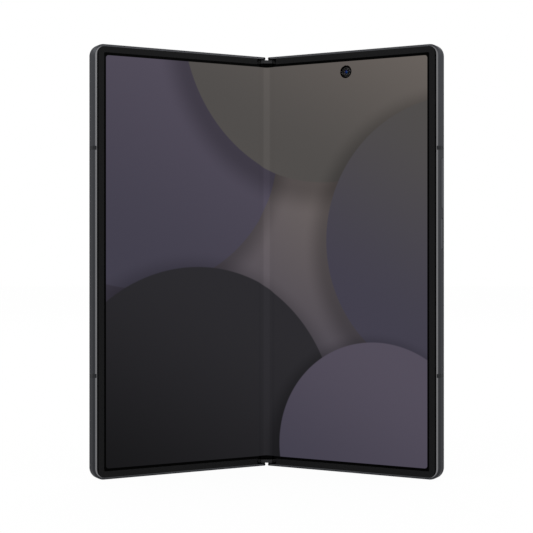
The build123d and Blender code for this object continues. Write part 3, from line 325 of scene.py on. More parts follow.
def object_coords(tree, stretch=(1, 1, 1)):
    """Object coordinates, scaled to stretch a pattern."""
    coords = add(tree, "ShaderNodeTexCoord")
    return add(tree, "ShaderNodeMapping", {
        "Vector": coords.outputs["Object"], "Scale": stretch}).outputs["Vector"]


def grained(name, colour, rough, grain, depth=0.02 * MM, spread=0.12, stretch=(1, 1, 1), **inputs):
    """A finish with a grain: noise of a real size varies the colour and the gloss, and dents it."""
    made, tree, shader = new_material(name, **inputs)
    place = object_coords(tree, stretch)
    noise = add(tree, "ShaderNodeTexNoise", {
        "Vector": place, "Scale": 1 / grain, "Detail": 3.0, "Roughness": 0.6})
    cloud = add(tree, "ShaderNodeTexNoise", {"Vector": place, "Scale": 60.0, "Detail": 2.0})
    both = add(tree, "ShaderNodeMath", {
        0: noise.outputs["Fac"], 1: cloud.outputs["Fac"]}, operation="ADD")
    level = add(tree, "ShaderNodeMapRange", {
        "Value": both.outputs["Value"], "From Min": 0.6, "From Max": 1.4,
        "To Min": 1 - spread, "To Max": 1 + spread})
    tint = add(tree, "ShaderNodeVectorMath", {
        0: tuple(colour), "Scale": level.outputs["Result"]}, operation="SCALE")
    gloss = add(tree, "ShaderNodeMapRange", {
        "Value": noise.outputs["Fac"], "From Min": 0.3, "From Max": 0.7,
        "To Min": rough * 0.88, "To Max": rough * 1.12})
    bump = add(tree, "ShaderNodeBump", {
        "Height": noise.outputs["Fac"], "Distance": depth, "Strength": 0.6})
    wire(tree, shader, Base_Color=tint.outputs["Vector"], Roughness=gloss.outputs["Result"],
         Normal=bump.outputs["Normal"])
    return made


def ramp(tree, value, low, high, smooth=True):
    """0 below low, 1 above high, eased between."""
    return add(tree, "ShaderNodeMapRange", {
        "Value": value, "From Min": low, "From Max": high},
        interpolation_type="SMOOTHSTEP" if smooth else "LINEAR").outputs["Result"]


def mix(tree, share, first, second, blend="MIX"):
    """Mix of two colours by a share."""
    return add(tree, "ShaderNodeMixRGB", {
        "Fac": share, "Color1": first, "Color2": second}, blend_type=blend).outputs["Color"]


def half_depth(tree, side):
    """Depth behind the inner display's face of a half, in metres, from Object coordinates."""
    way = outward(side)
    coords = add(tree, "ShaderNodeTexCoord")
    along = add(tree, "ShaderNodeVectorMath", {
        0: coords.outputs["Object"], 1: way}, operation="DOT_PRODUCT")
    at_axis = way[0] * side * AXIS_X * MM + way[1] * (AXIS_N + SPINE_SHIFT) * MM
    return add(tree, "ShaderNodeMath", {
        0: along.outputs["Value"], 1: at_axis - AXIS_N * MM}, operation="SUBTRACT").outputs[0]


def half_width(tree, side):
    """Distance out from the spine along a half, in metres, from Object coordinates."""
    coords = add(tree, "ShaderNodeTexCoord")
    along = add(tree, "ShaderNodeVectorMath", {
        0: coords.outputs["Object"], 1: (side * cos(TURN), -sin(TURN), 0)},
        operation="DOT_PRODUCT")
    at_axis = cos(TURN) * AXIS_X * MM - sin(TURN) * (AXIS_N + SPINE_SHIFT) * MM
    return add(tree, "ShaderNodeMath", {
        0: along.outputs["Value"], 1: at_axis - AXIS_X * MM}, operation="SUBTRACT").outputs[0]


def outline_share(tree, place, half_size, radii):
    """1 on the outline of a rounded rectangle about the middle, less inside, more outside.

    The length of max(|p| - (h - r), 0) / r, with half size h and corner radii r, on each axis.
    """
    size = add(tree, "ShaderNodeVectorMath", {0: place}, operation="ABSOLUTE")
    corner = (half_size[0] - radii[0], half_size[1] - radii[1], 0)
    past = add(tree, "ShaderNodeVectorMath", {
        0: size.outputs["Vector"], 1: corner}, operation="SUBTRACT")
    past = add(tree, "ShaderNodeVectorMath", {
        0: past.outputs["Vector"], 1: (0, 0, 0)}, operation="MAXIMUM")
    past = add(tree, "ShaderNodeVectorMath", {
        0: past.outputs["Vector"], 1: (*radii, 1)}, operation="DIVIDE")
    return add(tree, "ShaderNodeVectorMath", {
        0: past.outputs["Vector"]}, operation="LENGTH").outputs["Value"]


def frame_outline(tree, side, side_in, end_in):
    """Share of a half frame's outline, drawn in by two distances in millimetres."""
    height = add(tree, "ShaderNodeSeparateXYZ", {"Vector": object_coords(tree)}).outputs["Z"]
    place = add(tree, "ShaderNodeCombineXYZ", {"X": half_width(tree, side), "Y": height})
    place = add(tree, "ShaderNodeVectorMath", {
        0: place.outputs["Vector"], 1: (0, MID_H * MM, 0)}, operation="SUBTRACT")
    half_size = ((HALF_W - side_in) * MM, (MID_H - end_in) * MM)
    radii = ((FRAME_CORNER - side_in) * MM, (FRAME_CORNER - end_in) * MM)
    return outline_share(tree, place.outputs["Vector"], half_size, radii)


def frame_metal(side, colours, sizes):
    """Anodised aluminium, bead-blasted, with a bright-cut front rim along the outer side.

    The rim is painted brighter along the sides as a painted highlight and darker at the ends as
    painted shade; the sides are painted darker towards the bottom as painted shade. Inboard of the
    rim, and where the halves meet, the metal is painted near-black as painted shade.
    """
    made, tree, shader = new_material(
        "anodised_aluminium_" + ("right" if side > 0 else "left"), Metallic=1.0,
        Specular_Tint=EDGE_TINT)
    place = object_coords(tree)
    noise = add(tree, "ShaderNodeTexNoise", {
        "Vector": place, "Scale": 1 / sizes.blast_grain, "Detail": 2.0})
    depth = half_depth(tree, side)
    flat = ramp(tree, depth, 0.09 * MM, 0.05 * MM)
    cut = RIM_CHAMFER + 0.14
    inner = ramp(tree, frame_outline(tree, side, cut, cut - 0.1), 1.008, 0.992)
    front = add(tree, "ShaderNodeMath", {0: flat, 1: inner}, operation="MULTIPLY").outputs[0]
    height = add(tree, "ShaderNodeSeparateXYZ", {"Vector": place}).outputs["Z"]
    from_middle = add(tree, "ShaderNodeMath", {0: height, 1: MID_H * MM}, operation="SUBTRACT")
    from_middle = add(tree, "ShaderNodeMath", {0: from_middle.outputs[0]}, operation="ABSOLUTE")
    # Painted highlight and shade: the rim is painted brighter along the sides and darker at the top
    # and bottom ends, standing in for how the light falls.
    painted_shade_at_end = ramp(tree, from_middle.outputs[0], (MID_H - 1.5) * MM, (MID_H - 0.7) * MM)
    rim = mix(tree, painted_shade_at_end, colours.bright_cut_rim_painted_highlight, colours.frame_end)
    # Painted shade: the sides are painted darker towards the bottom, down to 0.65 of their colour,
    # as if lit from above.
    tall = ramp(tree, height, 0, HEIGHT * MM, smooth=False)
    side_painted_shade = mix(tree, tall, tuple(c * 0.65 for c in colours.frame_side), colours.frame_side)
    tone = mix(tree, front, side_painted_shade, rim)
    # Painted shade: inboard of the rim, in the gap towards the bezel, and where the halves meet,
    # the metal is painted near-black where shade falls.
    inboard = ramp(tree, frame_outline(tree, side, RIM_SIDE, RIM_END), 1.03, 1.0)
    meeting = ramp(tree, half_width(tree, side), 1.75 * MM, 1.6 * MM)
    inboard = add(tree, "ShaderNodeMath", {0: inboard, 1: meeting}, operation="MAXIMUM")
    inboard_painted_shade = add(tree, "ShaderNodeMath", {
        0: inboard.outputs[0], 1: ramp(tree, depth, 1.9 * MM, 1.7 * MM)}, operation="MULTIPLY")
    tone = mix(tree, inboard_painted_shade.outputs[0], tone, linear("#040404"))
    speck = add(tree, "ShaderNodeMapRange", {
        "Value": noise.outputs["Fac"], "From Min": 0.3, "From Max": 0.7,
        "To Min": 0.95, "To Max": 1.05})
    tone = add(tree, "ShaderNodeVectorMath", {
        0: tone, "Scale": speck.outputs["Result"]}, operation="SCALE")
    gloss = add(tree, "ShaderNodeMapRange", {"Value": front, "To Min": 0.42, "To Max": 0.24})
    bump = add(tree, "ShaderNodeBump", {
        "Height": noise.outputs["Fac"], "Distance": 0.006 * MM, "Strength": 0.4})
    wire(tree, shader, Base_Color=tone.outputs["Vector"], Roughness=gloss.outputs["Result"],
         Normal=bump.outputs["Normal"])
    return made


def end_cap(colours):
    """Moulded plug of the spine, charcoal on its nose, with painted black shade in the recesses
    beside it.
    """
    made, tree, shader = new_material(
        "moulded_nylon_caps", Roughness=0.5, Specular_IOR_Level=0.3)
    deep = add(tree, "ShaderNodeSeparateXYZ", {"Vector": object_coords(tree)}).outputs["Y"]
    # Painted shade: the deeper part of the cap, in the recesses, is painted near-black.
    recess_painted_shade = ramp(tree, deep, (SPINE_SHIFT + 0.85) * MM, (SPINE_SHIFT + 1.1) * MM)
    wire(tree, shader, Base_Color=mix(tree, recess_painted_shade, colours.cap, linear("#020202")))
    return made


def flat_coords(tree):
    """Flat display coordinates in millimetres, from the UV map, as a vector (across, up, 0)."""
    uv = add(tree, "ShaderNodeUVMap", uv_map="flat")
    return add(tree, "ShaderNodeMapping", {
        "Vector": uv.outputs["UV"], "Scale": (100, 100, 1)}).outputs["Vector"]


def paper_disc(tree, place, below, centre, radius, lit, shaded, light):
    """One paper disc of the picture, with a soft shadow on what lies below it.

    Distance from the centre gives the edge; the same distance, from a centre moved down
    and away from the light, gives the shadow; a dot product along the light gives the shade.
    """
    edge = add(tree, "ShaderNodeVectorMath", {0: place, 1: (*centre, 0)}, operation="DISTANCE")
    moved = (centre[0] - 0.06 * radius * light[0], centre[1] - 0.06 * radius * light[1], 0)
    far = add(tree, "ShaderNodeVectorMath", {0: place, 1: moved}, operation="DISTANCE")
    shadow = ramp(tree, far.outputs["Value"], radius * 1.16, radius * 0.98)
    dimmed = mix(tree, shadow, below, add(tree, "ShaderNodeVectorMath", {
        0: below, "Scale": 0.62}, operation="SCALE").outputs["Vector"])
    lean = add(tree, "ShaderNodeVectorMath", {0: place, 1: (*light, 0)}, operation="DOT_PRODUCT")
    middle = centre[0] * light[0] + centre[1] * light[1]
    share = ramp(tree, lean.outputs["Value"], middle - radius * 0.9, middle + radius * 0.9)
    inside = ramp(tree, edge.outputs["Value"], radius + 0.25, radius - 0.25)
    return mix(tree, inside, dimmed, mix(tree, share, shaded, lit))


def picture(tree, place, colours):
    """Generic picture of overlapping paper discs, lit from the upper left."""
    light = (0.5, 0.86)
    up = add(tree, "ShaderNodeSeparateXYZ", {"Vector": place})
    tall = ramp(tree, up.outputs["Y"], -80, 80)
    across = ramp(tree, up.outputs["X"], -70, 40)
    top = mix(tree, across, colours.picture_slate, colours.picture_taupe)
    tone = mix(tree, tall, colours.picture_plum, top)
    discs = (
        ((-52, 48), 58, colours.picture_slate, colours.picture_plum),
        ((26, 92), 62, colours.picture_taupe, colours.picture_stone),
        ((78, 8), 52, colours.picture_stone, colours.picture_plum),
        ((-30, -62), 60, colours.picture_ash, colours.picture_ink),
        ((46, -70), 40, colours.picture_slate, colours.picture_plum),
    )
    for centre, radius, lit, shaded in discs:
        tone = paper_disc(tree, place, tone, centre, radius, lit, shaded, light)
    return tone


def display_film(colours, sizes):
    """Lit panel under a coated polymer film: low mirror, with a painted sheen as a faint lighter
    band along the fold.
    """
    made, tree, shader = new_material(
        "coated_display_film", Base_Color=(0, 0, 0), Roughness=0.12, IOR=1.45,
        Specular_IOR_Level=0.02)
    place = flat_coords(tree)
    tone = picture(tree, place, colours)
    reach = outline_share(tree, place, (ACTIVE_HALF_W, ACTIVE_HALF_H), (ACTIVE_CORNER,) * 2)
    lit = ramp(tree, reach, 1.05, 0.95)
    # Painted sheen: the glow is raised by up to 16 % in a band along the fold, standing in for the
    # reflection on the crease.
    across = add(tree, "ShaderNodeSeparateXYZ", {"Vector": place}).outputs["X"]
    across = add(tree, "ShaderNodeMath", {0: across}, operation="ABSOLUTE").outputs[0]
    crease_painted_sheen = ramp(tree, across, sizes.crease_sheen_reach / MM + 0.3, sizes.crease_sheen_reach / MM - 0.6)
    pale = add(tree, "ShaderNodeMapRange", {"Value": crease_painted_sheen, "To Min": 1.0, "To Max": 1.16})
    glow_with_painted_sheen = add(tree, "ShaderNodeMath", {0: pale.outputs["Result"], 1: lit}, operation="MULTIPLY")
    wave = add(tree, "ShaderNodeTexNoise", {"Vector": place, "Scale": 0.04, "Detail": 1.0})
    bump = add(tree, "ShaderNodeBump", {
        "Height": wave.outputs["Fac"], "Distance": 0.05 * MM, "Strength": 0.4})
    glow = add(tree, "ShaderNodeVectorMath", {
        0: tone, "Scale": glow_with_painted_sheen.outputs[0]}, operation="SCALE")
    wire(tree, shader, Emission_Color=glow.outputs["Vector"], Normal=bump.outputs["Normal"])
    shader.inputs["Emission Strength"].default_value = 0.9
    return made


def cover_pane(colours):
    """Strengthened glass, polished, black behind, clear over the cover camera."""
    made, tree, shader = new_material("polished_cover_glass", Roughness=0.06, IOR=1.5)
    coords = add(tree, "ShaderNodeTexCoord")
    hole = on_half(-1, COVER_CAM_U, HALF_THICK, COVER_CAM_Z)
    away = add(tree, "ShaderNodeVectorMath", {
        0: coords.outputs["Object"], 1: tuple(hole)}, operation="DISTANCE")
    clear = ramp(tree, away.outputs["Value"], (COVER_CAM_R - 0.05) * MM, (COVER_CAM_R - 0.1) * MM)
    noise = add(tree, "ShaderNodeTexNoise", {
        "Vector": coords.outputs["Object"], "Scale": 30.0, "Detail": 4.0})
    smear = add(tree, "ShaderNodeMapRange", {
        "Value": noise.outputs["Fac"], "From Min": 0.4, "From Max": 0.75,
        "To Min": 0.045, "To Max": 0.075})
    tone = mix(tree, clear, colours.cover, (1, 1, 1))
    wire(tree, shader, Base_Color=tone, Transmission_Weight=clear,
         Roughness=smear.outputs["Result"])
    return made


def nearest(tree, side, centres):
    """Distance in metres to the nearest of several points of a half."""
    coords = add(tree, "ShaderNodeTexCoord").outputs["Object"]
    least = None
    for centre in centres:
        away = add(tree, "ShaderNodeVectorMath", {
            0: coords, 1: tuple(on_half(side, *centre))}, operation="DISTANCE").outputs["Value"]
        least = away if least is None else add(
            tree, "ShaderNodeMath", {0: least, 1: away}, operation="MINIMUM").outputs[0]
    return least


def lens_painted_glint(name, tint, film, side, centres, reach, rough=0.05):
    """Coated optical glass: a dark dome under a thin film, with a painted blue glint in its middle.
    """
    made, tree, shader = new_material(
        name, Roughness=rough, IOR=1.7, Thin_Film_Thickness=film, Thin_Film_IOR=1.38)
    # Painted glint: the middle of the dome is painted blue, standing in for the reflection off the
    # coating.
    core = ramp(tree, nearest(tree, side, centres), reach, reach * 0.4)
    wire(tree, shader, Base_Color=mix(tree, core, linear("#040405"), linear(tint)))
    return made


def turned_metal(name, colour, centres, side, pitch):
    """Turned and polished metal: fine rings about the nearest of several centres."""
    made, tree, shader = new_material(name, Metallic=1.0)
    least = nearest(tree, side, centres)
    turns = add(tree, "ShaderNodeMath", {0: least, 1: 2 * pi / pitch}, operation="MULTIPLY")
    wave = add(tree, "ShaderNodeMath", {0: turns.outputs[0]}, operation="SINE").outputs[0]
    tone = mix(tree, ramp(tree, wave, -1, 1), tuple(c * 0.86 for c in colour), colour)
    bump = add(tree, "ShaderNodeBump", {"Height": wave, "Distance": 0.004 * MM, "Strength": 0.5})
    gloss = add(tree, "ShaderNodeMapRange", {
        "Value": wave, "From Min": -1.0, "To Min": 0.16, "To Max": 0.24})
    wire(tree, shader, Base_Color=tone, Normal=bump.outputs["Normal"],
         Roughness=gloss.outputs["Result"])
    return made


def dress(material, *names):
    """Give CAD nodes or pieces a material."""
    for name in names:
        mesh = bpy.data.objects[name].data
        mesh.materials.clear()
        mesh.materials.append(material)


# ---- Pieces ----

def fold_share(u, n):
    """Share of the resting fold that each point of the folding strip takes.

    The share w solves w = t^2 (3 - 2 t) with t = x(u, n, w) / x(FOLD_U, 0, 1), found by
    halving an interval. A point turned by w of the fold then lies flat when the halves do.
    """
    reach = folded(1, FOLD_U, 0, 0, TURN)[0]
    low, high = np.zeros_like(u), np.ones_like(u)
    for _ in range(40):
        w = (low + high) / 2
        t = np.clip(folded(1, u, n, 0 * u, TURN * w)[..., 0] / reach, 0, 1)
        above = w > t * t * (3 - 2 * t)
        high, low = np.where(above, w, high), np.where(above, low, w)
    return (low + high) / 2, reach


def panel_lines(hole):
    """Grid lines across and up the panel: close at the fold and on both sides of a hole."""
    u = np.concatenate([np.linspace(0, 6, 61), np.linspace(7, PANEL_U1 - PANEL_CORNER, 40)[:-1],
                        PANEL_U1 - PANEL_CORNER * (1 - np.sin(np.linspace(0, pi / 2, 9)))])
    v = np.linspace(-1, 1, 61)
    if hole:
        mid, r = (PUNCH_Z - MID_H) / PANEL_HALF_H, PUNCH_R / PANEL_HALF_H
        u = u[(u < PUNCH_U - PUNCH_R - 0.6) | (u > PUNCH_U + PUNCH_R + 0.6)]
        u = np.sort(np.concatenate([u, PUNCH_U + PUNCH_R * np.linspace(-1, 1, 13)]))
        v = v[(v < mid - 1.3 * r) | (v > mid + 1.3 * r)]
        v = np.sort(np.concatenate([v, mid + r * np.linspace(-1, 1, 13)]))
    return u, v


def display_side(side, material):
    """The inner display on one side: a thin slab, flat over the half and curved at the fold.

    Flat points (u, n, z) on two layers, front and back. z = mid + v h(u), where h falls
    along a quarter circle at the outer corners and slightly at the fold. Round the camera
    hole the grid's block of points is pushed onto a circle. Each point is then turned by
    its share of the fold.
    """
    hole = side > 0
    across, up = panel_lines(hole)
    u, v = np.meshgrid(across, up, indexing="ij")
    inset = np.clip((u - (PANEL_U1 - PANEL_CORNER)) / PANEL_CORNER, 0, 1)
    half_h = PANEL_HALF_H - PANEL_CORNER * (1 - np.sqrt(1 - inset ** 2))
    at_fold = np.clip(1 - u / FOLD_U, 0, 1) ** 2
    z = MID_H + v * half_h
    faces = grid_quads(len(across), len(up))
    open_cell = np.zeros(len(faces), bool)
    if hole:
        du, dz = u - PUNCH_U, z - PUNCH_Z
        size = np.maximum(abs(du), abs(dz))
        on_rim = abs(size - PUNCH_R) < 0.01
        scale = np.where(on_rim, PUNCH_R / np.maximum(np.hypot(du, dz), 0.1), 1)
        middle = (du.ravel()[faces].mean(1), dz.ravel()[faces].mean(1))
        open_cell = np.maximum(abs(middle[0]), abs(middle[1])) < PUNCH_R
        u, z = PUNCH_U + du * scale, PUNCH_Z + dz * scale
    layers = []
    for n in (0.0, PANEL_T):
        share, reach = fold_share(u, n + 0 * u)
        layers.append(folded(side, u, n, z - v * FOLD_PINCH * at_fold, TURN * share))
    count = u.size
    front = faces[~open_cell]
    edges = np.concatenate([front[:, [i, (i + 1) % 4]] for i in range(4)])
    keys = np.sort(edges, 1) @ np.array([count, 1])
    _, first, seen = np.unique(keys, return_index=True, return_counts=True)
    rim = edges[first[seen == 1]]
    wall = np.stack([rim[:, 1], rim[:, 0], rim[:, 0] + count, rim[:, 1] + count], 1)
    quads = np.concatenate([front, front[:, ::-1] + count, wall])
    if side > 0:
        quads = quads[:, ::-1]
    uv = np.stack([side * u, z - MID_H], -1) * MM * 10
    name = "inner_display_film_" + ("right" if side > 0 else "left")
    made = mesh_object(name, np.stack(layers), quads, np.stack([uv, uv]))
    smooth_edges(made)
    dress(material, name)
    middle = (AXIS_N + SPINE_SHIFT) * MM
    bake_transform(made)
    return made


def dome(radius, low, rise, steps=14):
    """Profile of a spherical cap, from its rim to its top on the axis."""
    ball = (radius ** 2 + rise ** 2) / (2 * rise)
    t = np.linspace(np.arcsin(radius / ball), 0, steps)
    r = ball * np.sin(t)
    r[-1] = 0
    return [(a, low + rise - ball + ball * cos(b)) for a, b in zip(r, t)]


def barrel_profile(outer, depth, core, steps=3):
    """Profiles of a barrel, front face at 0: a flat lip and a stepped cone, and its lens."""
    element = outer * core
    inner = outer * 0.88
    floor_at = -depth * 0.75
    points = [(outer, -0.04), (outer - 0.04, 0.0), (inner, 0.0)]
    for index in range(steps):
        share = (index + 1) / steps
        points.append((inner, floor_at * share))
        inner = outer * 0.88 + (element - outer * 0.88) * share
        points.append((inner, floor_at * share))
    lens = dome(element - 0.01, floor_at + 0.05, depth * 0.6)
    return points, [(0, floor_at + 0.02), (element - 0.01, floor_at + 0.02)] + lens


def camera(name, body, side, u, heights, outer, face, depth, core, way, back, looks, box):
    """Camera modules: a box, a lipped barrel with stepped baffles, and a domed element.

    The turned profiles are in (radius, distance in front of the face). way is 1 where the
    camera looks out of the back of the half and -1 where it looks out of the front. core is
    the share of the barrel's radius that the element fills.
    """
    rim, cap = barrel_profile(outer, depth, core)
    tail = (back - face) * way
    closed = [(0, tail), (outer, tail)] + rim + [(0, rim[-1][1])]
    order = slice(None, None, -1) if way > 0 else slice(None)
    shapes = [[(r, face + way * n) for r, n in profile][order] for profile in (closed, cap)]
    made, glass = (
        mesh_object(title, *join(*[turned(side, u, z, shape) for z in heights]))
        for title, shape in zip((name, name + "_elements"), shapes))
    near, far = box[1:]
    housing = mesh_object(name + "_housings", *plates(
        side, [(u, (near + far) / 2, z) for z in heights],
        (box[0] / 2 - 0.02, abs(far - near) / 2 - 0.02, box[0] / 2 - 0.02)))
    smooth_edges(housing, 30, 0.25 * MM, 3)
    for piece, look in ((made, looks[0]), (glass, looks[1]), (housing, looks[0])):
        if piece is not housing:
            smooth_edges(piece, 30)
        dress(look, piece.name)
        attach(piece, body)
    return made


def turned_piece(name, side, u, heights, profile, look, body, angle=30):
    """The same turned shape at several heights, as one piece."""
    made = mesh_object(name, *join(*[turned(side, u, z, profile) for z in heights]))
    smooth_edges(made, angle)
    dress(look, name)
    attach(made, body)
    return made


def disc_profile(radius, front, back, edge):
    """Profile of a flat disc between two depths with a small polished bevel on both rims."""
    return [(0, back), (radius - edge, back), (radius, back - edge), (radius, front + edge),
            (radius - edge, front), (0, front)]


def baffle_profile(inner, outer, low, rings, rise):
    """Profile of a washer whose top is cut into concentric steps that rise outwards."""
    step = (outer - inner) / rings
    points = [(inner, low)]
    for index in range(rings):
        top = low + 0.1 + rise * (index + 1) / rings
        points += [(inner + step * index, top), (inner + step * (index + 0.8), top - 0.04)]
    points += [(outer, top), (outer, low), (inner, low)]
    return points


def speaker_mesh(name, body, side, centre_u, z, look, pitch):
    """Woven wire mesh across four round-ended slots: height a sin(2 pi u / p) sin(2 pi n / p)."""
    s, t = np.meshgrid(np.linspace(-1, 1, 73), np.linspace(-1, 1, 31), indexing="ij")
    across = s * SLOT_L / 2
    past = np.maximum(abs(across) - (SLOT_L - SLOT_H) / 2, 0)
    deep = t * np.sqrt(np.maximum((SLOT_H / 2) ** 2 - past ** 2, 1e-6))
    swell = 0.05 * np.sin(2 * pi * across / pitch) * np.sin(2 * pi * deep / pitch)
    parts = []
    for index in range(4):
        u = centre_u + (index - 1.5) * SLOT_PITCH + across
        points = on_half(side, u, SLOT_N + deep, z + swell)
        parts.append((points, grid_quads(*s.shape)))
    made = mesh_object(name, *join(*parts))
    wall = made.modifiers.new("Solidify", "SOLIDIFY")
    wall.thickness, wall.offset = 0.06 * MM, 0
    dress(look, name)
    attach(made, body)


def plates(side, centres, half_size):
    """Boxes at flat points: corner signs times the half sizes, added to each centre."""
    signs = np.array([[x, y, z] for x in (-1, 1) for y in (-1, 1) for z in (-1, 1)], float)
    points = np.asarray(centres)[:, None, :] + signs[None] * np.asarray(half_size)
    cube = np.array([(0, 1, 3, 2), (4, 6, 7, 5), (0, 4, 5, 1), (2, 3, 7, 6), (0, 2, 6, 4),
                     (1, 5, 7, 3)])
    quads = cube[None] + 8 * np.arange(len(points))[:, None, None]
    quads = quads.reshape(-1, 4)
    placed = on_half(side, points[..., 0], points[..., 1], points[..., 2])
    return placed, quads if side > 0 else quads[:, ::-1]


class PhoneOperator(bpy.types.Operator):
    """Base for the operators that dress the phone."""
    bl_options = {"REGISTER", "UNDO"}

    def execute(self, context):
        self.make(context.scene.phone_colours, context.scene.phone_sizes)
        return {"FINISHED"}


class PHONE_OT_display(PhoneOperator):
    """Make the folding inner display with its picture."""
    bl_idname = "phone.display"
    bl_label = "Inner display"

    def make(self, colours, sizes):
        film = display_film(colours, sizes)
        left = display_side(-1, film)
        right = display_side(1, film)
        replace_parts(left, "inner_display_left")
        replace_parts(right, "inner_display_right", "inner_display_fold")
        # Matte black moulding: low sheen, fine spark-eroded texture.
        dress(grained("moulded_abs_black", colours.bezel, 0.5, 0.14 * MM, spread=0.15,
                      Specular_IOR_Level=0.07), "left_bezel", "right_bezel")


class PHONE_OT_frames(PhoneOperator):
    """Finish both frames, the keys, the card tray and the antenna breaks."""
    bl_idname = "phone.frames"
    bl_label = "Frames and keys"

    def make(self, colours, sizes):
        dress(frame_metal(-1, colours, sizes), "left_frame", "sim_tray")
        dress(frame_metal(1, colours, sizes), "right_frame")
        dress(grained("anodised_aluminium_keys", colours.keys, 0.36, sizes.blast_grain,
                      depth=0.006 * MM, spread=0.06, Metallic=1.0, Specular_Tint=EDGE_TINT),
              "volume_rocker", "side_key")
        # Glass-filled nylon in the splits: a little darker than the metal, quite matte.
        dress(grained("moulded_nylon_breaks", colours.breaks, 0.6, 0.12 * MM,
                      Specular_IOR_Level=0.05), "left_antenna_breaks", "right_antenna_breaks")


class PHONE_OT_hinge(PhoneOperator):
    """Finish the spine and the parts of the geared hinge."""
    bl_idname = "phone.hinge"
    bl_label = "Hinge"

    def make(self, colours, sizes):
        # Drawn and polished cover: grain runs along the spine.
        dress(grained("polished_anodised_spine", colours.spine, 0.26, 0.1 * MM,
                      depth=0.006 * MM, stretch=(1, 1, 0.02), Metallic=1.0),
              "spine_cover")
        dress(end_cap(colours), "spine_end_caps")
        # Sintered steel: fine open grain, half matte.
        dress(grained("sintered_steel", linear("#85868a"), 0.42, 0.12 * MM, Metallic=1.0),
              "hinge_brackets", "left_sync_arm", "right_sync_arm", "left_idler_gear",
              "right_idler_gear", "left_arc_rails", "right_arc_rails")
        dress(grained("stamped_stainless_steel", linear("#9a9b9e"), 0.3, 0.2 * MM,
                      stretch=(1, 1, 0.1), Metallic=1.0),
              "gear_pins", "friction_washers", "spine_screws", "left_rail_screws",
              "right_rail_screws", "sim_slot")
        # Blackened sheet steel behind the display's strip: dull and nearly black.
        dress(grained("blackened_sheet_steel", linear("#0c0c0d"), 0.55, 0.15 * MM,
                      Specular_IOR_Level=0.1), "left_wing_plate", "right_wing_plate")


class PHONE_OT_backs(PhoneOperator):
    """Finish the cover glass, the cover display and the rear glass."""
    bl_idname = "phone.backs"
    bl_label = "Glass backs"

    def make(self, colours, sizes):
        dress(cover_pane(colours), "cover_glass")
        dress(grained("display_panel_black", linear("#060607"), 0.2, 0.3 * MM),
              "cover_display")
        # Etched glass: soft broad mirror, fine sparkle from the etched pits.
        dress(grained("frosted_rear_glass", colours.rear, 0.36, 0.2 * MM, depth=0.008 * MM,
                      spread=0.08, IOR=1.5, Coat_Weight=0.0), "rear_glass")


class PHONE_OT_cameras(PhoneOperator):
    """Make the lens barrels, coated elements and flash, and finish the island and rings."""
    bl_idname = "phone.cameras"
    bl_label = "Cameras"

    def make(self, colours, sizes):
        # Black anodised barrels: dull, so that stray light dies in the steps.
        black = grained("black_anodised_barrel", linear("#0c0c0d"), 0.6, 0.6 * MM,
                        depth=0.0, Specular_IOR_Level=0.2)
        centres = [(REAR_U, REAR_GLASS_N - 0.4, z) for z in REAR_LENS_Z]
        # Each lens dome has a painted blue glint in its middle.
        rear_coat_glint = lens_painted_glint("coated_lens_painted_glint_rear", "#141a3c", 420.0, 1, centres, 2.0 * MM)
        inner_coat_glint = lens_painted_glint("coated_lens_painted_glint_inner", "#101a4a", 340.0, 1,
                               [(PUNCH_U, PANEL_T + 0.1, PUNCH_Z)], 0.7 * MM, rough=0.32)
        cover_coat_glint = lens_painted_glint("coated_lens_painted_glint_cover", "#101a4a", 340.0, -1,
                               [(COVER_CAM_U, GLASS_FRONT - 0.1, COVER_CAM_Z)], 0.8 * MM)
        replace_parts(camera(
            "rear_camera_modules", "right_half", 1, REAR_U, REAR_LENS_Z, REAR_BARREL_R - 0.04,
            REAR_GLASS_N - 0.08, 1.5, 0.58, 1, 3.4, (black, rear_coat_glint),
            (REAR_BODY, REAR_BODY_N, GLASS_FRONT)), "rear_cameras")
        turned_piece("rear_baffles", 1, REAR_U, REAR_LENS_Z, baffle_profile(
            REAR_BARREL_R + 0.02, RING_IN_R - 0.03, ISLAND_TOP - 0.2, 4, 0.35), black,
            "right_half")
        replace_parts(camera(
            "inner_camera_module", "right_half", 1, PUNCH_U, (PUNCH_Z,), PUNCH_BARREL_R - 0.02,
            PANEL_T + 0.04, 0.4, 0.34, -1, 1.2, (black, inner_coat_glint),
            (CAMERA_BOX, REAR_BODY_N, GLASS_FRONT - 0.3)), "inner_camera")
        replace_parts(camera(
            "cover_camera_module", "left_half", -1, COVER_CAM_U, (COVER_CAM_Z,),
            COVER_CAM_R - 0.03, GLASS_FRONT - 0.04, 0.5, 0.45, 1, 2.6, (black, cover_coat_glint),
            (CAMERA_BOX, REAR_BODY_N, GLASS_FRONT - 0.5)), "cover_camera")
        # Coated optical glass: clear, hardly any mirror face on.
        clear = new_material("coated_clear_glass", Base_Color=(0, 0, 0), Roughness=0.05,
                             IOR=1.46, Alpha=0.03)[0]
        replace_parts(turned_piece(
            "rear_lens_glass", 1, REAR_U, REAR_LENS_Z, disc_profile(
                RING_IN_R - 0.02, REAR_GLASS_N, REAR_GLASS_N + REAR_GLASS_T, 0.08),
            clear, "right_half"), "lens_glasses")
        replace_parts(turned_piece(
            "inner_camera_glass", 1, PUNCH_U, (PUNCH_Z,), disc_profile(
                PUNCH_R - 0.02, WINDOW_SINK, PANEL_T - 0.04, 0.05),
            clear, "right_half"), "inner_camera_window")
        dress(grained("anodised_aluminium_island", colours.island, 0.33, sizes.blast_grain,
                      depth=0.01 * MM, Metallic=1.0, Specular_Tint=EDGE_TINT), "camera_island")
        dress(turned_metal("turned_polished_rings", colours.rings, centres, 1, 0.16 * MM),
              "lens_rings")
        flash(sizes)


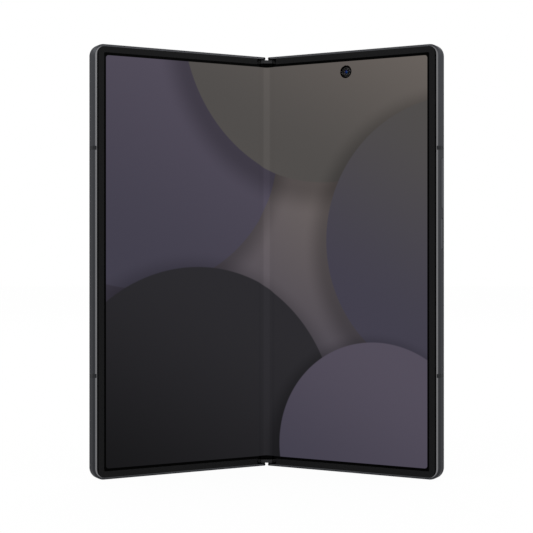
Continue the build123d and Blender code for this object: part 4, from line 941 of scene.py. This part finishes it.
def flash(sizes):
    """Flash lens with ring ridges: front depth falls and rises as |sin| of the radius."""
    pitch = sizes.ridge_pitch / MM
    r = np.linspace(FLASH_R - 0.25, 0, 90)
    ridge = HALF_THICK - 0.03 - 0.07 * abs(np.sin(pi * r / pitch))
    top = [(FLASH_R - 0.01, HALF_THICK - 0.04), (FLASH_R - 0.05, HALF_THICK)]
    outline = [(0, GLASS_FRONT), (FLASH_R - 0.01, GLASS_FRONT), *top,
               (FLASH_R - 0.2, HALF_THICK), *zip(r, ridge)]
    made = mesh_object("flash_fresnel", *turned(1, FLASH_U, REAR_LENS_Z[0], outline[::-1]))
    smooth_edges(made, 50)
    # Moulded acrylic over a pale phosphor: milky, warm white.
    look = grained("moulded_acrylic_flash", linear("#b4ac92"), 0.25, 0.4 * MM, spread=0.05,
                   Subsurface_Weight=0.2, Subsurface_Scale=1 * MM)
    dress(look, made.name)
    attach(made, "right_half")
    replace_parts(made, "flash_lens")


class PHONE_OT_sound_and_port(PhoneOperator):
    """Make the speaker meshes and the port's contacts, and finish the port."""
    bl_idname = "phone.sound_and_port"
    bl_label = "Sound slots and port"

    def make(self, colours, sizes):
        wire_look = grained("woven_stainless_mesh", linear("#303135"), 0.35, 0.08 * MM,
                            Metallic=1.0)
        pitch = sizes.mesh_pitch / MM
        speaker_mesh("earpiece_mesh", "left_half", -1, EARPIECE_U, HEIGHT - 0.7, wire_look, pitch)
        speaker_mesh("loudspeaker_mesh", "right_half", 1, LOUDSPEAKER_U, 0.7, wire_look, pitch)
        count = sizes.contact_count
        places = PORT_U + (np.arange(count) - (count - 1) / 2) * CONTACT_PITCH
        centres = [(u, PORT_N + s * 0.36, 2.6) for u in places for s in (-1, 1)]
        made = mesh_object("port_contacts", *plates(1, centres, (0.12, 0.015, 1.6)))
        smooth_edges(made, 20)
        dress(grained("gold_plated_contacts", linear("#c9a55a"), 0.22, 0.1 * MM, Metallic=1.0),
              made.name)
        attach(made, "right_half")
        dress(grained("nickel_plated_shell", linear("#8d8e90"), 0.25, 0.15 * MM, Metallic=1.0),
              "usb_c_shell")
        dress(grained("moulded_lcp_tongue", linear("#101012"), 0.4, 0.1 * MM), "usb_c_tongue")


class PHONE_OT_insides(PhoneOperator):
    """Finish the batteries, boards, shields, speakers and magnets inside."""
    bl_idname = "phone.insides"
    bl_label = "Insides"

    def make(self, colours, sizes):
        dress(grained("laminated_pouch_foil", linear("#3b3b3f"), 0.4, 0.6 * MM, Metallic=0.4),
              "left_battery", "right_battery")
        dress(grained("glass_fibre_board", linear("#17402f"), 0.45, 0.3 * MM),
              "main_board", "sub_board", "key_switches")
        dress(grained("tinned_steel_can", linear("#b9babc"), 0.3, 0.5 * MM, Metallic=1.0),
              "board_shields", "main_board_posts", "vibration_motor")
        dress(grained("flat_wound_copper", linear("#b5713f"), 0.35, 0.3 * MM, Metallic=1.0),
              "charging_coil")
        dress(grained("moulded_pc_housing", linear("#1b1b1d"), 0.5, 0.2 * MM),
              "loudspeaker", "earpiece", "microphone")
        dress(grained("nickel_plated_magnet", linear("#a8a9ab"), 0.28, 0.3 * MM, Metallic=1.0),
              "left_magnets", "right_magnets")


class PHONE_OT_stage(PhoneOperator):
    """Make the floor, the soft lights, the white surroundings and the camera."""
    bl_idname = "phone.stage"
    bl_label = "Stage"

    def make(self, colours, sizes):
        scene = bpy.context.scene
        scene.view_settings.view_transform = "Standard"
        world = scene.world or bpy.data.worlds.new("World")
        scene.world = world
        world.use_nodes = True
        tree = world.node_tree
        tree.nodes.clear()
        # White to the camera, mirrors and glass; a dimmer light on matte surfaces.
        strength = add(tree, "ShaderNodeMapRange", {"Value": seen(tree), "To Min": WORLD_FILL})
        back = add(tree, "ShaderNodeBackground", {
            "Color": (1, 1, 1), "Strength": strength.outputs["Result"]})
        add(tree, "ShaderNodeOutputWorld", {"Surface": back.outputs["Background"]})
        floor()
        for name, place, size, power in (
                ("key", (-0.55, -0.55, 0.85), 0.6, 2.4),
                ("fill", (0.75, -0.35, 0.6), 0.7, 1.4),
                ("back", (0.1, 0.9, 0.8), 0.8, 2.4)):
            soft_light(scene, name, place, size, power)
        lens = bpy.data.cameras.new("camera")
        lens.sensor_width = FILM_WIDTH
        lens.lens = FOCAL_PIXELS / IMAGE_SIZE * FILM_WIDTH
        lens.shift_x, lens.shift_y = CAMERA_SHIFT
        lens.clip_start, lens.clip_end = 0.01, 20
        eye = bpy.data.objects.new("camera", lens)
        eye.location = CAMERA_AT
        eye.rotation_euler = (pi / 2, 0, 0)
        scene.collection.objects.link(eye)
        scene.camera = eye


def seen(tree):
    """1 for rays of the camera, mirrors and clear glass, 0 for light on matte surfaces."""
    path = add(tree, "ShaderNodeLightPath")
    share = path.outputs["Is Camera Ray"]
    for name in ("Is Glossy Ray", "Is Transmission Ray"):
        share = add(tree, "ShaderNodeMath", {
            0: share, 1: path.outputs[name]}, operation="MAXIMUM").outputs[0]
    return share


def floor():
    """Pale floor: mostly plain white to the camera, keeping a share of the soft shadow."""
    reach = 3.0
    points = np.array([(x, y, 0) for y in (-reach, reach) for x in (-reach, reach)])
    made = mesh_object("floor", points, np.array([[0, 1, 3, 2]]))
    look, tree, shader = new_material("painted_pale_floor", Base_Color=linear("#f4f4f4"),
                                      Roughness=0.9, Specular_IOR_Level=0.1)
    glow = add(tree, "ShaderNodeEmission", {"Color": (1, 1, 1)})
    share = add(tree, "ShaderNodeMath", {0: seen(tree), 1: FLOOR_WHITE}, operation="MULTIPLY")
    both = add(tree, "ShaderNodeMixShader", {
        0: share.outputs[0], 1: shader.outputs["BSDF"], 2: glow.outputs["Emission"]})
    tree.links.new(both.outputs["Shader"], tree.nodes["Material Output"].inputs["Surface"])
    dress(look, "floor")


def soft_light(scene, name, place, size, power):
    """Square soft light that points at the middle of the phone."""
    data = bpy.data.lights.new(name, "AREA")
    data.size, data.energy = size, power
    made = bpy.data.objects.new(name, data)
    made.location = place
    aim = np.array((0, 0, MID_H * MM)) - np.array(place)
    made.rotation_euler = (
        np.arctan2(hypot(aim[0], aim[1]), -aim[2]), 0, np.arctan2(-aim[0], aim[1]))
    scene.collection.objects.link(made)


OPERATORS = (
    PHONE_OT_stage, PHONE_OT_display, PHONE_OT_frames, PHONE_OT_hinge, PHONE_OT_backs,
    PHONE_OT_cameras, PHONE_OT_sound_and_port, PHONE_OT_insides,
)


class PHONE_PT_panel(bpy.types.Panel):
    """Sidebar panel with the steps, sizes and colours."""
    bl_idname = "PHONE_PT_panel"
    bl_label = "Folding phone"
    bl_space_type = "VIEW_3D"
    bl_region_type = "UI"
    bl_category = "Folding phone"

    def draw(self, context):
        for step in OPERATORS:
            self.layout.operator(step.bl_idname)
        for group in (context.scene.phone_sizes, context.scene.phone_colours):
            for name in group.__annotations__:
                self.layout.prop(group, name)


CLASSES = (PhoneColours, PhoneSizes, *OPERATORS, PHONE_PT_panel)


def register():
    """Register the classes and the scene's settings."""
    for kind in CLASSES:
        bpy.utils.register_class(kind)
    bpy.types.Scene.phone_colours = PointerProperty(type=PhoneColours)
    bpy.types.Scene.phone_sizes = PointerProperty(type=PhoneSizes)


def unregister():
    """Remove the settings and the classes."""
    del bpy.types.Scene.phone_colours
    del bpy.types.Scene.phone_sizes
    for kind in reversed(CLASSES):
        bpy.utils.unregister_class(kind)


def main():
    """Make everything in order."""
    register()
    for step in OPERATORS:
        group, name = step.bl_idname.split(".")
        getattr(getattr(bpy.ops, group), name)()


if __name__ == "__main__":
    main()
